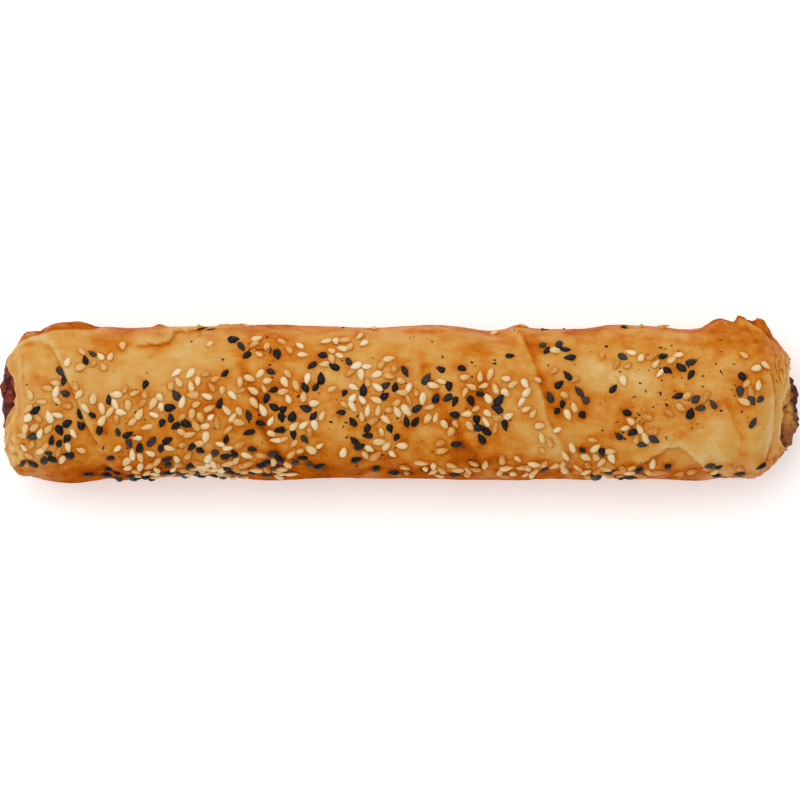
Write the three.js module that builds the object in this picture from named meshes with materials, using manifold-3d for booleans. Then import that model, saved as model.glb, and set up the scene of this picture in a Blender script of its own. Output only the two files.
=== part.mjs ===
// A baked borek: thin sheets of pastry wound on the slant round a savoury filling into one straight
// roll, pressed flat where it lay on the tray, and sprinkled with pale and dark seeds.
// Millimetres, +Z up, +X along the roll. The origin is the middle of the flat underside.
// Angles round the roll are in degrees: 0 is the +Y side, 90 the crest and 180 the -Y side.
import * as THREE from "three";
import { mergeVertices } from "three/addons/utils/BufferGeometryUtils.js";
import Module from "manifold-3d";

// Driving dimensions of the roll
const LENGTH = 210; // tip to tip of the filling
const WIDTH = 40;
const HEIGHT = 34;
const PRESSED = 2; // how much of the round section the tray has pressed flat
const SQUARENESS = 2.25; // power of the section's curve: 2 is an ellipse, more is boxier
const HALF_RISE = (HEIGHT + PRESSED) / 2; // half of the unpressed section's height
const AXIS_HEIGHT = HEIGHT - HALF_RISE;

// The filling's tunnel through the pastry
const TUNNEL_WIDTH = 22;
const TUNNEL_HEIGHT = 17;
const TUNNEL_STRAYS = -3.6; // how far across it wanders from the left tip to the right one
const GAP = 0.3; // between the filling and the pastry
const TIP_BLUNTNESS = 0.42; // power of the filling's rounded ends: less is blunter
const TIP_LUMPS = { count: 5, rise: 0.07, twist: 4 }; // their rise is a share of the filling's girth

// The two ends: where the pastry's rim is, how far back its edge is rounded and how bluntly, how far
// the rim stands out and back as it goes round, between which places the wrap lines straighten up, and
// how far, where and how widely the rim is set back over the filling
const ENDS = {
  left: {
    side: -1, rim: 103.4, reach: 9.5, bluntness: 2.6, ragged: 0.35, phase: 0.8, straight: [82, 102],
    bite: { depth: 3.5, angle: 84, spread: 28 },
  },
  right: {
    side: 1, rim: 101.4, reach: 10, bluntness: 1.7, ragged: 0.35, phase: 1.6, straight: [60, 92],
    bite: { depth: 2.0, angle: 115, spread: 38 },
  },
};
const RAGGED_TIMES = 3; // how often the finer part of the ragged rim goes out and back
const RIM_GIRTH = 0.62; // the roll's girth at a rim, as a share of its full girth
const END_LAYERS = 4; // sheets that show as steps at each end
const SLUMP = 0.5; // share of the way down to the next step that each sheet sags at its edge
const LAYER_EDGE = 0.5; // length along the roll over which a sheet's edge steps down

// The wrap lines lean: each runs this far along the roll from the crest to a side, and wanders a little
const LEAN = 10;
const WANDER = { rise: 0.8, times: 3, length: 107 };

// Edges of wound sheets: the place on the crest, the step up towards +X, the length over which it dies
// away, the dip before it, and the angles between which it shows
const WRAPS = [
  { along: -83.5, rise: 0.9, run: 14, dip: 0.2, from: 5, to: 215 },
  { along: -38.6, rise: 0.7, run: 5, dip: 0.3, from: 55, to: 150 },
  { along: 10.5, rise: 0.8, run: 5, dip: 0.3, from: 55, to: 150 },
  { along: 38.3, rise: 1.1, run: 12, dip: 0.9, from: 8, to: 165 },
];
const WRAP_EDGE = 0.6; // half the length over which a sheet's edge climbs
const DIP_RUN = 5;
const WRAP_FADE = 18; // degrees over which a wrap line dies out at its two ends

// Swellings, where folds gather: place along, half-length, angle, half-angle, height
const SWELLINGS = [
  { along: 83.4, length: 3.8, angle: 14, spread: 24, rise: 2.5 },
  { along: 89.4, length: 2.0, angle: 14, spread: 14, rise: 2.4 },
  { along: 94.6, length: 3.2, angle: 14, spread: 18, rise: 4.2 },
  { along: 30.4, length: 2.6, angle: 6, spread: 16, rise: 0.8 },
  { along: -86.5, length: 7.0, angle: 10, spread: 22, rise: 0.9 },
  { along: -63.0, length: 1.6, angle: 6, spread: 8, rise: 0.9 },
  { along: -31.5, length: 5.0, angle: 8, spread: 12, rise: 0.7 },
  { along: -101.0, length: 3.6, angle: 158, spread: 18, rise: 3.2 },
  { along: -88.0, length: 8.0, angle: 180, spread: 20, rise: 0.9 },
  { along: 82.5, length: 8.0, angle: 122, spread: 20, rise: 1.2 },
  { along: 64.0, length: 9.0, angle: 70, spread: 26, rise: 0.5 },
];

// Soft waves all over the pastry: length along, times round, height
const WAVES = [
  { length: 46, times: 2, rise: 0.22 },
  { length: 26, times: -3, rise: 0.2 },
];
const FREE_OF_TRAY = 122; // degrees from the crest to where the pastry meets the tray
const TRAY_FADE = 20; // degrees over which the relief dies out there

// Loose flakes of the outer sheets: place along, angle, length, width, and how far they lift and turn
const FLAKES = [
  { along: -65.3, angle: 34, length: 13.5, width: 4.2, lift: 3, turn: 2 },
  { along: -45.7, angle: 8, length: 11.0, width: 2.4, lift: 7, turn: 4 },
  { along: 64.4, angle: 6, length: 4.5, width: 2.0, lift: 9, turn: -6 },
  { along: 96.0, angle: 44, length: 7.0, width: 4.5, lift: 8, turn: -58 },
  { along: 79.5, angle: 136, length: 13.0, width: 5.0, lift: 4, turn: -24 },
];
const FLAKE_THICKNESS = 0.7;
const FLAKE_TEETH = 5; // ragged points along each long edge
const FLAKE_NARROWS = 0.75; // share of its width that a flake loses towards its free end
const FLAKE_RAGGED = 0.25; // share by which its edges stand out and back

// Seeds: a flattened teardrop, half as wide at the tip as the taper says
const PALE = { length: 3.3, width: 1.8, thickness: 1.0, taper: 0.45 };
const DARK = { length: 3.0, width: 1.9, thickness: 1.15, taper: 0.4 };
const SIZE_SPREAD = 0.22; // share by which a seed may be larger or smaller
const PROUD = 0.1; // share of a seed's thickness by which its rim stands clear of the surface
const SEED_SPACING = 2.1; // least distance between two seeds' middles
const FUSED_SEEDS = 210; // the largest ones, which are part of the solid

// The drifts in which the seeds lie: place along, half-length, angle, half-angle, pale and dark seeds
const DRIFTS = [
  { along: -95, length: 7, angle: 112, spread: 26, pale: 20, dark: 9 },
  { along: -87.7, length: 4, angle: 89, spread: 16, pale: 5, dark: 5 },
  { along: -85.8, length: 3.5, angle: 124, spread: 10, pale: 5, dark: 8 },
  { along: -77, length: 6, angle: 93, spread: 12, pale: 11, dark: 4 },
  { along: -77.7, length: 9, angle: 57, spread: 14, pale: 8, dark: 2 },
  { along: -68, length: 6, angle: 93, spread: 12, pale: 9, dark: 6 },
  { along: -67.7, length: 6.5, angle: 131, spread: 20, pale: 13, dark: 9 },
  { along: -68, length: 8, angle: 156, spread: 8, pale: 3, dark: 7 },
  { along: -53.8, length: 6, angle: 79, spread: 9, pale: 12, dark: 1 },
  { along: -55, length: 9, angle: 96, spread: 10, pale: 14, dark: 10 },
  { along: -51, length: 14, angle: 134, spread: 18, pale: 26, dark: 18 },
  { along: -48, length: 7, angle: 160, spread: 9, pale: 6, dark: 12 },
  { along: -44, length: 4.5, angle: 91, spread: 13, pale: 8, dark: 2 },
  { along: -34, length: 8, angle: 45, spread: 10, pale: 8, dark: 3 },
  { along: -26.8, length: 7, angle: 82, spread: 12, pale: 11, dark: 8 },
  { along: -27.5, length: 8, angle: 113, spread: 22, pale: 15, dark: 12 },
  { along: -15, length: 5, angle: 43, spread: 7, pale: 8, dark: 1 },
  { along: -18.4, length: 5, angle: 61, spread: 8, pale: 3, dark: 4 },
  { along: -5.8, length: 6.5, angle: 73, spread: 9, pale: 12, dark: 2 },
  { along: -6.6, length: 8, angle: 91, spread: 11, pale: 15, dark: 10 },
  { along: -5.8, length: 5, angle: 119, spread: 14, pale: 8, dark: 8 },
  { along: 5, length: 4.5, angle: 90, spread: 14, pale: 8, dark: 1 },
  { along: 12.3, length: 5.5, angle: 102, spread: 14, pale: 8, dark: 5 },
  { along: 18, length: 6, angle: 79, spread: 12, pale: 8, dark: 5 },
  { along: 22.3, length: 4.5, angle: 97, spread: 12, pale: 5, dark: 9 },
  { along: 23.6, length: 22, angle: 147, spread: 11, pale: 28, dark: 2 },
  { along: 34, length: 6, angle: 86, spread: 20, pale: 10, dark: 0 },
  { along: 40, length: 3, angle: 50, spread: 4, pale: 1, dark: 4 },
  { along: 43.8, length: 4.5, angle: 86, spread: 15, pale: 5, dark: 7 },
  { along: 42, length: 7, angle: 119, spread: 12, pale: 9, dark: 0 },
  { along: 61.5, length: 4, angle: 107, spread: 9, pale: 8, dark: 6 },
  { along: 51, length: 4, angle: 136, spread: 9, pale: 7, dark: 5 },
  { along: 60, length: 8, angle: 156, spread: 9, pale: 9, dark: 4 },
  { along: 57, length: 7, angle: 61, spread: 16, pale: 7, dark: 2 },
  { along: 70, length: 4.5, angle: 61, spread: 14, pale: 4, dark: 5 },
  { along: 75.6, length: 5, angle: 90, spread: 7, pale: 4, dark: 6 },
  { along: 91, length: 5, angle: 81, spread: 20, pale: 7, dark: 5 },
  { along: 79, length: 15, angle: 148, spread: 10, pale: 6, dark: 6 },
  { along: 0, length: 75, angle: 80, spread: 45, pale: 8, dark: 6 },
  { along: 25, length: 60, angle: 14, spread: 6, pale: 3, dark: 1 },
];
const DRIFT_EDGE = 1.6; // how far past its half-sizes a drift thins out
const SEEDS_REACH = 99; // no seed lies further along than this
const SEEDS_FROM = 12; // nor outside these angles
const SEEDS_TO = 200;
const DRAW_START = 20611;
const TRIES = 40; // draws for a free place before a seed is left out

// How finely the solids are faceted
const RINGS_APART = 5.2; // along the roll
const SIDES = 36; // round the roll
const TIP_RINGS = 5; // over each end of the filling
const SEED_SIDES = 6; // corners of a seed's rim
const FINEST = 0.0015; // a seed that would leave a sliver thinner than this is left out

const PROBE_LENGTH = 0.5; // half the distance over which a slope is measured along the roll
const PROBE_TURN = 1.7; // and half the angle round it

const { clamp, degToRad, euclideanModulo, lerp, smoothstep } = THREE.MathUtils;

// Draws that are the same on every run: a 32-bit linear congruential generator.
function makeDraw(start) {
  let state = start;
  return () => {
    state = (Math.imul(state, 1664525) + 1013904223) >>> 0;
    return state / 2 ** 32;
  };
}

// A draw between -1 and 1 that favours the middle.
function middling(draw) {
  return ((draw() + draw() + draw()) * 2) / 3 - 1;
}

function bell(distance) {
  return Math.exp(-distance * distance);
}

// Angle from one direction to another, the short way round.
function angleBetween(from, to) {
  return euclideanModulo(to - from + 180, 360) - 180;
}

function endOf(station) {
  return station < 0 ? ENDS.left : ENDS.right;
}

// A station names one wrap line by its place on the crest. This is how far along the roll that line
// lies where it passes an angle.
function alongAt(station, angle) {
  const turn = degToRad(angle);
  const slanted = 1 - smoothstep(Math.abs(station), ...endOf(station).straight);
  const wander = WANDER.rise * Math.sin(WANDER.times * turn + (2 * Math.PI * station) / WANDER.length);
  return station + slanted * (wander - LEAN * Math.cos(turn));
}

// The wrap line that passes a place, near enough for setting things down.
function stationAt(along, angle) {
  return along - (alongAt(along, angle) - along);
}

// The step where a sheet's edge lies: a dip before the edge, then the sheet's rise.
function wrapRelief(wrap, station, angle) {
  const fromMiddle = Math.abs(angleBetween((wrap.from + wrap.to) / 2, angle));
  const reach = (wrap.to - wrap.from) / 2;
  const shown = 1 - smoothstep(fromMiddle, reach - WRAP_FADE, reach + WRAP_FADE);
  const past = station - wrap.along;
  const dip = -wrap.dip * Math.exp(Math.min(past, 0) / DIP_RUN);
  const step = wrap.rise * Math.exp(-Math.max(past, 0) / wrap.run);
  return shown * lerp(dip, step, smoothstep(past, -WRAP_EDGE, WRAP_EDGE));
}

function swellingRelief(swelling, along, angle) {
  const near = bell((along - swelling.along) / swelling.length);
  return swelling.rise * near * bell(angleBetween(swelling.angle, angle) / swelling.spread);
}

function waveRelief(wave, along, angle) {
  return wave.rise * Math.sin((2 * Math.PI * along) / wave.length + wave.times * degToRad(angle));
}

// Height of the pastry above its plain section. It dies out where the pastry lies on the tray.
function reliefAt(station, angle) {
  const along = alongAt(station, angle);
  const fromCrest = Math.abs(angleBetween(90, angle));
  const free = 1 - smoothstep(fromCrest, FREE_OF_TRAY - TRAY_FADE, FREE_OF_TRAY + TRAY_FADE);
  let height = 0;
  for (const wrap of WRAPS) height += wrapRelief(wrap, station, angle);
  for (const swelling of SWELLINGS) height += swellingRelief(swelling, along, angle);
  for (const wave of WAVES) height += waveRelief(wave, along, angle);
  return free * height;
}

// A cosine or sine drawn out to the section's boxier curve.
function boxed(value) {
  return Math.sign(value) * Math.abs(value) ** (2 / SQUARENESS);
}

// How far the rim of an end stands out at an angle. The set-back is flatter than a bell.
function raggedRim(end, angle) {
  const turn = degToRad(angle);
  const coarse = Math.sin(turn + end.phase);
  const fine = Math.sin(RAGGED_TIMES * turn + 2 * end.phase);
  const aside = angleBetween(end.bite.angle, angle) / end.bite.spread;
  return end.ragged * (coarse + fine / 2) - end.bite.depth * bell(aside ** 2);
}

// The roll's girth at a station: full along the roll, rounded off towards each rim.
function girthAt(station) {
  const end = endOf(station);
  const rounded = clamp((Math.abs(station) - end.rim + end.reach) / end.reach, 0, 1);
  return 1 - (1 - RIM_GIRTH) * rounded ** end.bluntness;
}

// A point of the pastry's surface.
function pastryPoint(station, angle, girth = girthAt(station)) {
  const end = endOf(station);
  const nearRim = smoothstep(Math.abs(station), end.rim - end.reach, end.rim);
  const relief = girth * reliefAt(station, angle);
  const turn = degToRad(angle);
  return new THREE.Vector3(
    alongAt(station, angle) + end.side * nearRim * raggedRim(end, angle),
    ((WIDTH / 2) * girth + relief) * boxed(Math.cos(turn)),
    Math.max(0, AXIS_HEIGHT + (HALF_RISE * girth + relief) * boxed(Math.sin(turn))),
  );
}

// A point of the tunnel's wall, or of a smaller tube inside it.
function tunnelPoint(along, angle, share = 1) {
  const turn = degToRad(angle);
  const across = (TUNNEL_STRAYS * along) / LENGTH + share * (TUNNEL_WIDTH / 2) * Math.cos(turn);
  const height = AXIS_HEIGHT + share * (TUNNEL_HEIGHT / 2) * Math.sin(turn);
  return new THREE.Vector3(along, across, height);
}

// Stations between the rounded ends, with two close rings at each sheet's edge.
function rollStations() {
  const first = -ENDS.left.rim + ENDS.left.reach;
  const last = ENDS.right.rim - ENDS.right.reach;
  const steps = Math.round((last - first) / RINGS_APART);
  const even = Array.from({ length: steps + 1 }, (_, i) => lerp(first, last, i / steps));
  const edges = WRAPS.flatMap(({ along }) => [along - WRAP_EDGE, along + WRAP_EDGE]);
  const clear = even.filter((s) => edges.every((edge) => Math.abs(s - edge) > RINGS_APART / 3));
  return [...clear, ...edges].sort((a, b) => a - b);
}

function ringOf(pointAt) {
  return Array.from({ length: SIDES }, (_, i) => pointAt((360 * i) / SIDES));
}

// Rings of one rounded end, from the roll out to the rim: each sheet is a tread and a riser.
function endRings(end) {
  const rings = [];
  for (let layer = 1; layer <= END_LAYERS; layer++) {
    const inner = end.side * (end.rim - end.reach * (1 - (layer - 1) / END_LAYERS));
    const outer = end.side * (end.rim - end.reach * (1 - layer / END_LAYERS));
    const sagged = lerp(girthAt(inner), girthAt(outer), SLUMP);
    rings.push(ringOf((angle) => pastryPoint(outer - end.side * LAYER_EDGE, angle, sagged)));
    rings.push(ringOf((angle) => pastryPoint(outer, angle, girthAt(outer))));
  }
  return rings;
}

// The mouth of the tunnel at one end.
function mouthRing(end) {
  return ringOf((angle) => tunnelPoint(end.side * (end.rim + raggedRim(end, angle)), angle));
}

// A skin over rings of points, each joined to the next.
function ringsIndex(count) {
  const index = [];
  for (let ring = 0; ring < count; ring++) {
    for (let i = 0; i < SIDES; i++) {
      const [a, b] = [ring * SIDES + i, ring * SIDES + ((i + 1) % SIDES)];
      const [c, d] = [a + SIDES, b + SIDES];
      index.push(a, b, c, b, d, c);
    }
  }
  return index;
}

function ringsGeometry(rings, index) {
  const geometry = new THREE.BufferGeometry().setFromPoints(rings.flat());
  return geometry.setIndex(index);
}

// The bare pastry: over the roll from the left mouth to the right one, and back through the tunnel.
function pastryGeometry() {
  const rings = [
    mouthRing(ENDS.left),
    ...endRings(ENDS.left).reverse(),
    ...rollStations().map((station) => ringOf((angle) => pastryPoint(station, angle))),
    ...endRings(ENDS.right),
    mouthRing(ENDS.right),
  ];
  const points = rings.length * SIDES;
  return ringsGeometry(rings, ringsIndex(rings.length).map((i) => i % points));
}

// One end of the filling, swelling out of its mouth, from the inside to the tip.
function tipRings(end, share) {
  const start = end.rim - end.reach;
  const rise = LENGTH / 2 - start;
  return Array.from({ length: TIP_RINGS }, (_, i) => {
    const out = (i + 0.5) / TIP_RINGS;
    const along = end.side * (start + rise * Math.sin((Math.PI / 2) * out));
    const girth = share * Math.cos((Math.PI / 2) * out) ** TIP_BLUNTNESS;
    return ringOf((angle) => {
      const phase = TIP_LUMPS.count * degToRad(angle) + TIP_LUMPS.twist * out + end.phase;
      return tunnelPoint(along, angle, girth * (1 - TIP_LUMPS.rise * out * (1 - Math.sin(phase))));
    });
  });
}

// The filling: it runs right through the roll and shows at both ends.
function fillingGeometry() {
  const share = 1 - (2 * GAP) / TUNNEL_HEIGHT;
  const rings = [...tipRings(ENDS.left, share).reverse(), ...tipRings(ENDS.right, share)];
  const last = (rings.length - 1) * SIDES;
  const index = ringsIndex(rings.length - 1);
  for (let i = 1; i < SIDES - 1; i++) index.push(0, i + 1, i, last, last + i, last + i + 1);
  return ringsGeometry(rings, index);
}

// A place on the pastry: the point, the outward normal and the direction along the roll.
function placeOn(along, angle) {
  const station = stationAt(along, angle);
  const point = pastryPoint(station, angle);
  const ahead = pastryPoint(station + PROBE_LENGTH, angle).sub(pastryPoint(station - PROBE_LENGTH, angle));
  const round = pastryPoint(station, angle + PROBE_TURN).sub(pastryPoint(station, angle - PROBE_TURN));
  return { point, normal: round.cross(ahead).normalize(), ahead: ahead.normalize() };
}

// A frame at a place: Z points out of the surface, and X along the roll, turned by the heading.
function frameAt({ point, normal, ahead }, heading) {
  const x = ahead.clone().applyAxisAngle(normal, degToRad(heading));
  return new THREE.Matrix4().makeBasis(x, normal.clone().cross(x), normal).setPosition(point);
}

// Every seed of the sprinkle, drift by drift: its kind, place, heading and size.
function sprinkle() {
  const draw = makeDraw(DRAW_START);
  const seeds = [];
  const sow = (drift, kind) => {
    for (let attempt = 0; attempt < TRIES; attempt++) {
      const along = drift.along + DRIFT_EDGE * drift.length * middling(draw);
      const angle = drift.angle + DRIFT_EDGE * drift.spread * middling(draw);
      if (Math.abs(along) > SEEDS_REACH || angle < SEEDS_FROM || angle > SEEDS_TO) continue;
      const place = placeOn(along, angle);
      if (seeds.some((seed) => seed.place.point.distanceTo(place.point) < SEED_SPACING)) continue;
      seeds.push({ kind, place, heading: 360 * draw(), size: 1 + SIZE_SPREAD * middling(draw) });
      return;
    }
  };
  for (const drift of DRIFTS) {
    for (let i = 0; i < drift.pale; i++) sow(drift, PALE);
    for (let i = 0; i < drift.dark; i++) sow(drift, DARK);
  }
  return seeds;
}

// A flattened teardrop lying on its side, its tip towards +X.
function seedGeometry({ length, width, thickness, taper }) {
  const geometry = new THREE.SphereGeometry(1, SEED_SIDES, 2).rotateX(Math.PI / 2);
  const position = geometry.getAttribute("position");
  for (let i = 0; i < position.count; i++) {
    const slim = 1 - taper * position.getX(i);
    const [x, y, z] = [position.getX(i), position.getY(i) * slim, position.getZ(i)];
    position.setXYZ(i, (x * length) / 2, (y * width) / 2, (z * thickness) / 2);
  }
  return geometry;
}

// A thin flake with two ragged long edges, narrowing towards +X.
function flakeGeometry({ length, width }, draw) {
  const edge = (side) => Array.from({ length: FLAKE_TEETH + 1 }, (_, i) => {
    const out = i / FLAKE_TEETH;
    const ragged = lerp(1 - FLAKE_RAGGED, 1 + FLAKE_RAGGED, draw());
    const half = (width / 2) * (1 - FLAKE_NARROWS * out) * ragged;
    return new THREE.Vector2((out - 0.5) * length, side * half);
  });
  const outline = new THREE.Shape([...edge(-1), ...edge(1).reverse()]);
  const geometry = new THREE.ExtrudeGeometry(outline, { depth: FLAKE_THICKNESS, bevelEnabled: false });
  return geometry.translate(0, 0, -FLAKE_THICKNESS / 2);
}

const wasm = await Module();
wasm.setup();

// A closed geometry, moved by a matrix, as a solid for joining.
function solidFrom(geometry, matrix = new THREE.Matrix4()) {
  const bare = geometry.clone().applyMatrix4(matrix);
  bare.deleteAttribute("normal");
  bare.deleteAttribute("uv");
  const merged = mergeVertices(bare);
  return new wasm.Manifold(
    new wasm.Mesh({
      numProp: 3,
      vertProperties: new Float32Array(merged.getAttribute("position").array),
      triVerts: new Uint32Array(merged.index.array),
    }),
  );
}

function geometryFrom(solid) {
  const { vertProperties, triVerts } = solid.getMesh();
  const geometry = new THREE.BufferGeometry();
  geometry.setAttribute("position", new THREE.BufferAttribute(vertProperties, 3));
  geometry.setIndex(new THREE.BufferAttribute(triVerts, 1));
  geometry.computeVertexNormals();
  return geometry;
}

function flakeSolids() {
  const draw = makeDraw(DRAW_START + 1);
  return FLAKES.map((flake) => {
    const lifted = new THREE.Matrix4().makeRotationY(-degToRad(flake.lift));
    const frame = frameAt(placeOn(flake.along, flake.angle), flake.turn);
    return solidFrom(flakeGeometry(flake, draw), frame.multiply(lifted));
  });
}

// The largest seeds, each bedded in the pastry.
function seedSolids() {
  const largest = sprinkle().sort((a, b) => b.size - a.size).slice(0, FUSED_SEEDS);
  return largest.map(({ kind, place, heading, size }) => {
    const bedded = new THREE.Matrix4().makeTranslation(0, 0, PROUD * kind.thickness);
    const frame = frameAt(place, heading).multiply(bedded);
    return solidFrom(seedGeometry(kind), frame.scale(new THREE.Vector3(size, size, size)));
  });
}

// The least height of a solid's triangles.
function thinnest(solid) {
  const { vertProperties, triVerts } = solid.getMesh();
  const corner = (i) => new THREE.Vector3().fromArray(vertProperties, 3 * triVerts[i]);
  const triangle = new THREE.Triangle();
  let least = Infinity;
  for (let i = 0; i < triVerts.length; i += 3) {
    const { a, b, c } = triangle.set(corner(i), corner(i + 1), corner(i + 2));
    const longest = Math.max(a.distanceTo(b), b.distanceTo(c), c.distanceTo(a));
    least = Math.min(least, (2 * triangle.getArea()) / longest);
  }
  return least;
}

function joinCleanly(body, piece) {
  const joined = body.add(piece);
  return thinnest(joined) < FINEST ? body : joined;
}

// The pastry with its flakes and seeds in one body. A hollow that they close is filled, and a scrap
// that stays loose is dropped.
function dressedPastry() {
  const bare = solidFrom(pastryGeometry());
  const joined = [...flakeSolids(), ...seedSolids()].reduce(joinCleanly, bare);
  return joined.decompose().reduce((most, body) => (body.volume() > most.volume() ? body : most));
}

function makeMesh(name, geometry, color, roughness) {
  const material = new THREE.MeshStandardMaterial({ color, roughness, metalness: 0 });
  const mesh = new THREE.Mesh(geometry, material);
  mesh.name = name;
  return mesh;
}

const borek = new THREE.Group();
borek.add(makeMesh("pastry", geometryFrom(dressedPastry()), 0xd9993f, 0.45));
borek.add(makeMesh("filling", fillingGeometry(), 0x5a2a18, 0.6));

export default borek;
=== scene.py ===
"""A baked borek: a straight roll of thin pastry sheets wound on the slant, sprinkled with seeds.

Lengths in the tables are millimetres, and angles round the roll are degrees: 0 is the +Y side, 90 the
crest and 180 the -Y side. Meshes are made in metres.
"""
from collections import namedtuple
from math import pi

import bpy
import numpy as np
from mathutils import Euler, Matrix, Vector, kdtree, noise


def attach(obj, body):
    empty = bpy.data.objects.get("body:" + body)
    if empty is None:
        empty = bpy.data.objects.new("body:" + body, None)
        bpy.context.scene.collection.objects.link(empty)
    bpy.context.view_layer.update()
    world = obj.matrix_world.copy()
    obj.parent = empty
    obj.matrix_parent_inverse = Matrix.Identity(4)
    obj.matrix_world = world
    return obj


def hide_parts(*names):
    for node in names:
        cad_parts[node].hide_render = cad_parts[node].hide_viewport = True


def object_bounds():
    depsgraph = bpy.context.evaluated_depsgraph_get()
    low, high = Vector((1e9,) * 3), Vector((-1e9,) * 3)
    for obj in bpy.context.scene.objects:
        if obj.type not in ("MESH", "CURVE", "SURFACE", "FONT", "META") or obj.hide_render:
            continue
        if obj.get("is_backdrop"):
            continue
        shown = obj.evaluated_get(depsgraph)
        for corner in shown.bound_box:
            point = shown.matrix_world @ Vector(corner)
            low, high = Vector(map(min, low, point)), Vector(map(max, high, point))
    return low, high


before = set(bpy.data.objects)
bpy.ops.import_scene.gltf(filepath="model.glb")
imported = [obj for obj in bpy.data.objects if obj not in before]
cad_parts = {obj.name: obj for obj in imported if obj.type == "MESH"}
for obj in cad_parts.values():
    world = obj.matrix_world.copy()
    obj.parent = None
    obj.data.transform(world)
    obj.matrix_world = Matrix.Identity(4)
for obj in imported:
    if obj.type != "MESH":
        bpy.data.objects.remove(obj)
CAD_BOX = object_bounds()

bl_info = {
    "name": "Borek",
    "version": (1, 0, 0),
    "blender": (4, 5, 0),
    "location": "3D View > Sidebar > Borek",
    "description": "Makes a baked, seeded borek roll and a plain stage for it",
    "category": "Add Mesh",
}

MM = 0.001
CREST = 90

# The roll's section and the filling's tunnel
LENGTH = 210.0
PRESSED = 2.0
SQUARENESS = 2.25
TUNNEL_WIDTH = 22.0
TUNNEL_HEIGHT = 17.0
TUNNEL_STRAYS = -3.6
GAP = 0.3

# The filling's tips: their lobes, their lumps and crumbs, and how they swell at the mouth of the tunnel
TIP_BLUNTNESS = 0.42
TIP_LOBES = {"count": 5, "rise": 0.07, "twist": 4}
TIP_CAPS = (0.7, 0.4, 0.15)
FILLING_LUMPS = {"rise": 1.9, "size": 2.9, "crumbs": 0.4, "from": 5, "full": 1}
MOUTH = {"swell": 1.7, "reach": 3.0, "below": 0.8, "low": (-0.3, 0.5)}

# The two ends
LEFT = {
    "side": -1, "rim": 103.4, "reach": 9.5, "bluntness": 2.6, "ragged": 0.35, "phase": 0.8,
    "bite": 3.5, "bite_angle": 84, "bite_spread": 28, "slant_ends": 82.0, "upright_from": 102.0,
    "layers": 5, "covered": 0.85, "covered_angle": 96, "covered_spread": 88,
}
RIGHT = {
    "side": 1, "rim": 101.4, "reach": 10.0, "bluntness": 1.7, "ragged": 0.35, "phase": 1.6,
    "bite": 2.0, "bite_angle": 115, "bite_spread": 38, "slant_ends": 60.0, "upright_from": 92.0,
    "layers": 5, "covered": 1.0, "covered_angle": 92, "covered_spread": 70,
}
RAGGED_TIMES = 3
RIM_GIRTH = 0.62

# The sheets that end one after another towards each rim. A wobble is times round, start and height
LAYER_RISE = 0.55
LAYER_LIP = 0.85
LAYER_WOBBLE = ((2, 0.5, 0.8), (5, 2.0, 0.3), (9, 4.1, 0.12))
LAYER_RAGGED = 0.9
LAYER_RADIUS = 14
LAYERS_SHOWN = (0.02, 0.3)
# Shade painted low on each sheet just past its step down, paler towards its lip: how strong, and from where
# across the sheet it turns paler
LAYER_SHADE = 0.2
LAYER_SHADE_FROM = 0.55

# The rims, ridged by the ends of the sheets and smoother on top
RIM_RIDGE = 0.3
RIM_ROUGH = 0.9
RIM_WAVES = 0.3
RIM_TOP = (0.2, 0.8)
RIM_TOP_SMOOTHER = 0.7
RIM_SHEETS = (-0.45, 0.35)
RIM_BAKE = 0.44
# Shade painted into the gaps between the sheets' ends on the rim faces, paler on the ends themselves
RIM_GAP_SHADE = 0.16
RIM_MOTTLES = 0.3
RIM_LIP = {"width": 0.9, "browner": -0.24}
INSIDE_BAKE = 0.7

# How the left rim is worn back: angle, half-angle, depth
WORN_LEFT = ((8, 34, 1.5), (52, 12, 0.7), (-50, 30, 1.6), (124, 18, 0.9), (235, 28, 1.2))
RIM_FRAY = 0.45
RIM_RADIUS = 12

# Shallow dents and swellings in the sheets: along, half-length, angle, half-angle, height
DENTS = (
    (-97.0, 5.5, 8, 30, -1.7), (-72.0, 7.0, 6, 22, -0.9), (23.0, 5.0, 4, 24, -1.2),
    (34.0, 6.0, 4, 24, -1.0), (45.0, 7.0, 4, 22, -0.6), (77.0, 5.0, 6, 20, -0.8),
    (94.5, 4.0, 10, 16, -0.8), (-58.0, 14.0, 180, 26, -0.8), (53.5, 2.5, 180, 24, -0.8),
    (32.0, 7.0, 180, 26, 0.8), (79.0, 6.0, 180, 26, 1.1),
)

# Swellings where folds gather, in the same columns
SWELLINGS = (
    (83.4, 3.8, 14, 24, 2.5), (89.4, 2.0, 14, 14, 2.4), (94.6, 3.2, 14, 18, 4.2),
    (30.4, 2.6, 6, 16, 0.8), (-86.5, 7.0, 10, 22, 0.9), (-63.0, 1.6, 6, 8, 0.9),
    (-31.5, 5.0, 8, 12, 0.7), (-101.0, 3.6, 158, 18, 3.2), (-88.0, 8.0, 180, 20, 0.9),
    (82.5, 8.0, 122, 20, 1.2), (64.0, 9.0, 70, 26, 0.5),
)

# Soft waves all over: length, times round, height
WAVES = ((46, 2, 0.22), (26, -3, 0.2))
FREE_OF_TRAY = 122
TRAY_FADE = 20

# The bubbled crust at the left front corner, with shade painted into the seams between its lumps
CRUST = {
    "along": -101.0, "length": 4.0, "angle": 142, "spread": 24, "rise": 2.2, "size": 2.5, "shift": 3.0,
    "strays": 1.3, "browner": -0.12, "seams": 1.3,
}

# The crumpled crown at the right back
CRUMPLE = {
    "along": 90.5, "length": 12.0, "angle": 16, "spread": 30, "rise": 0.7, "level": 0.5,
    "browner": 0.2, "brown_level": 0.4,
}

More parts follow.
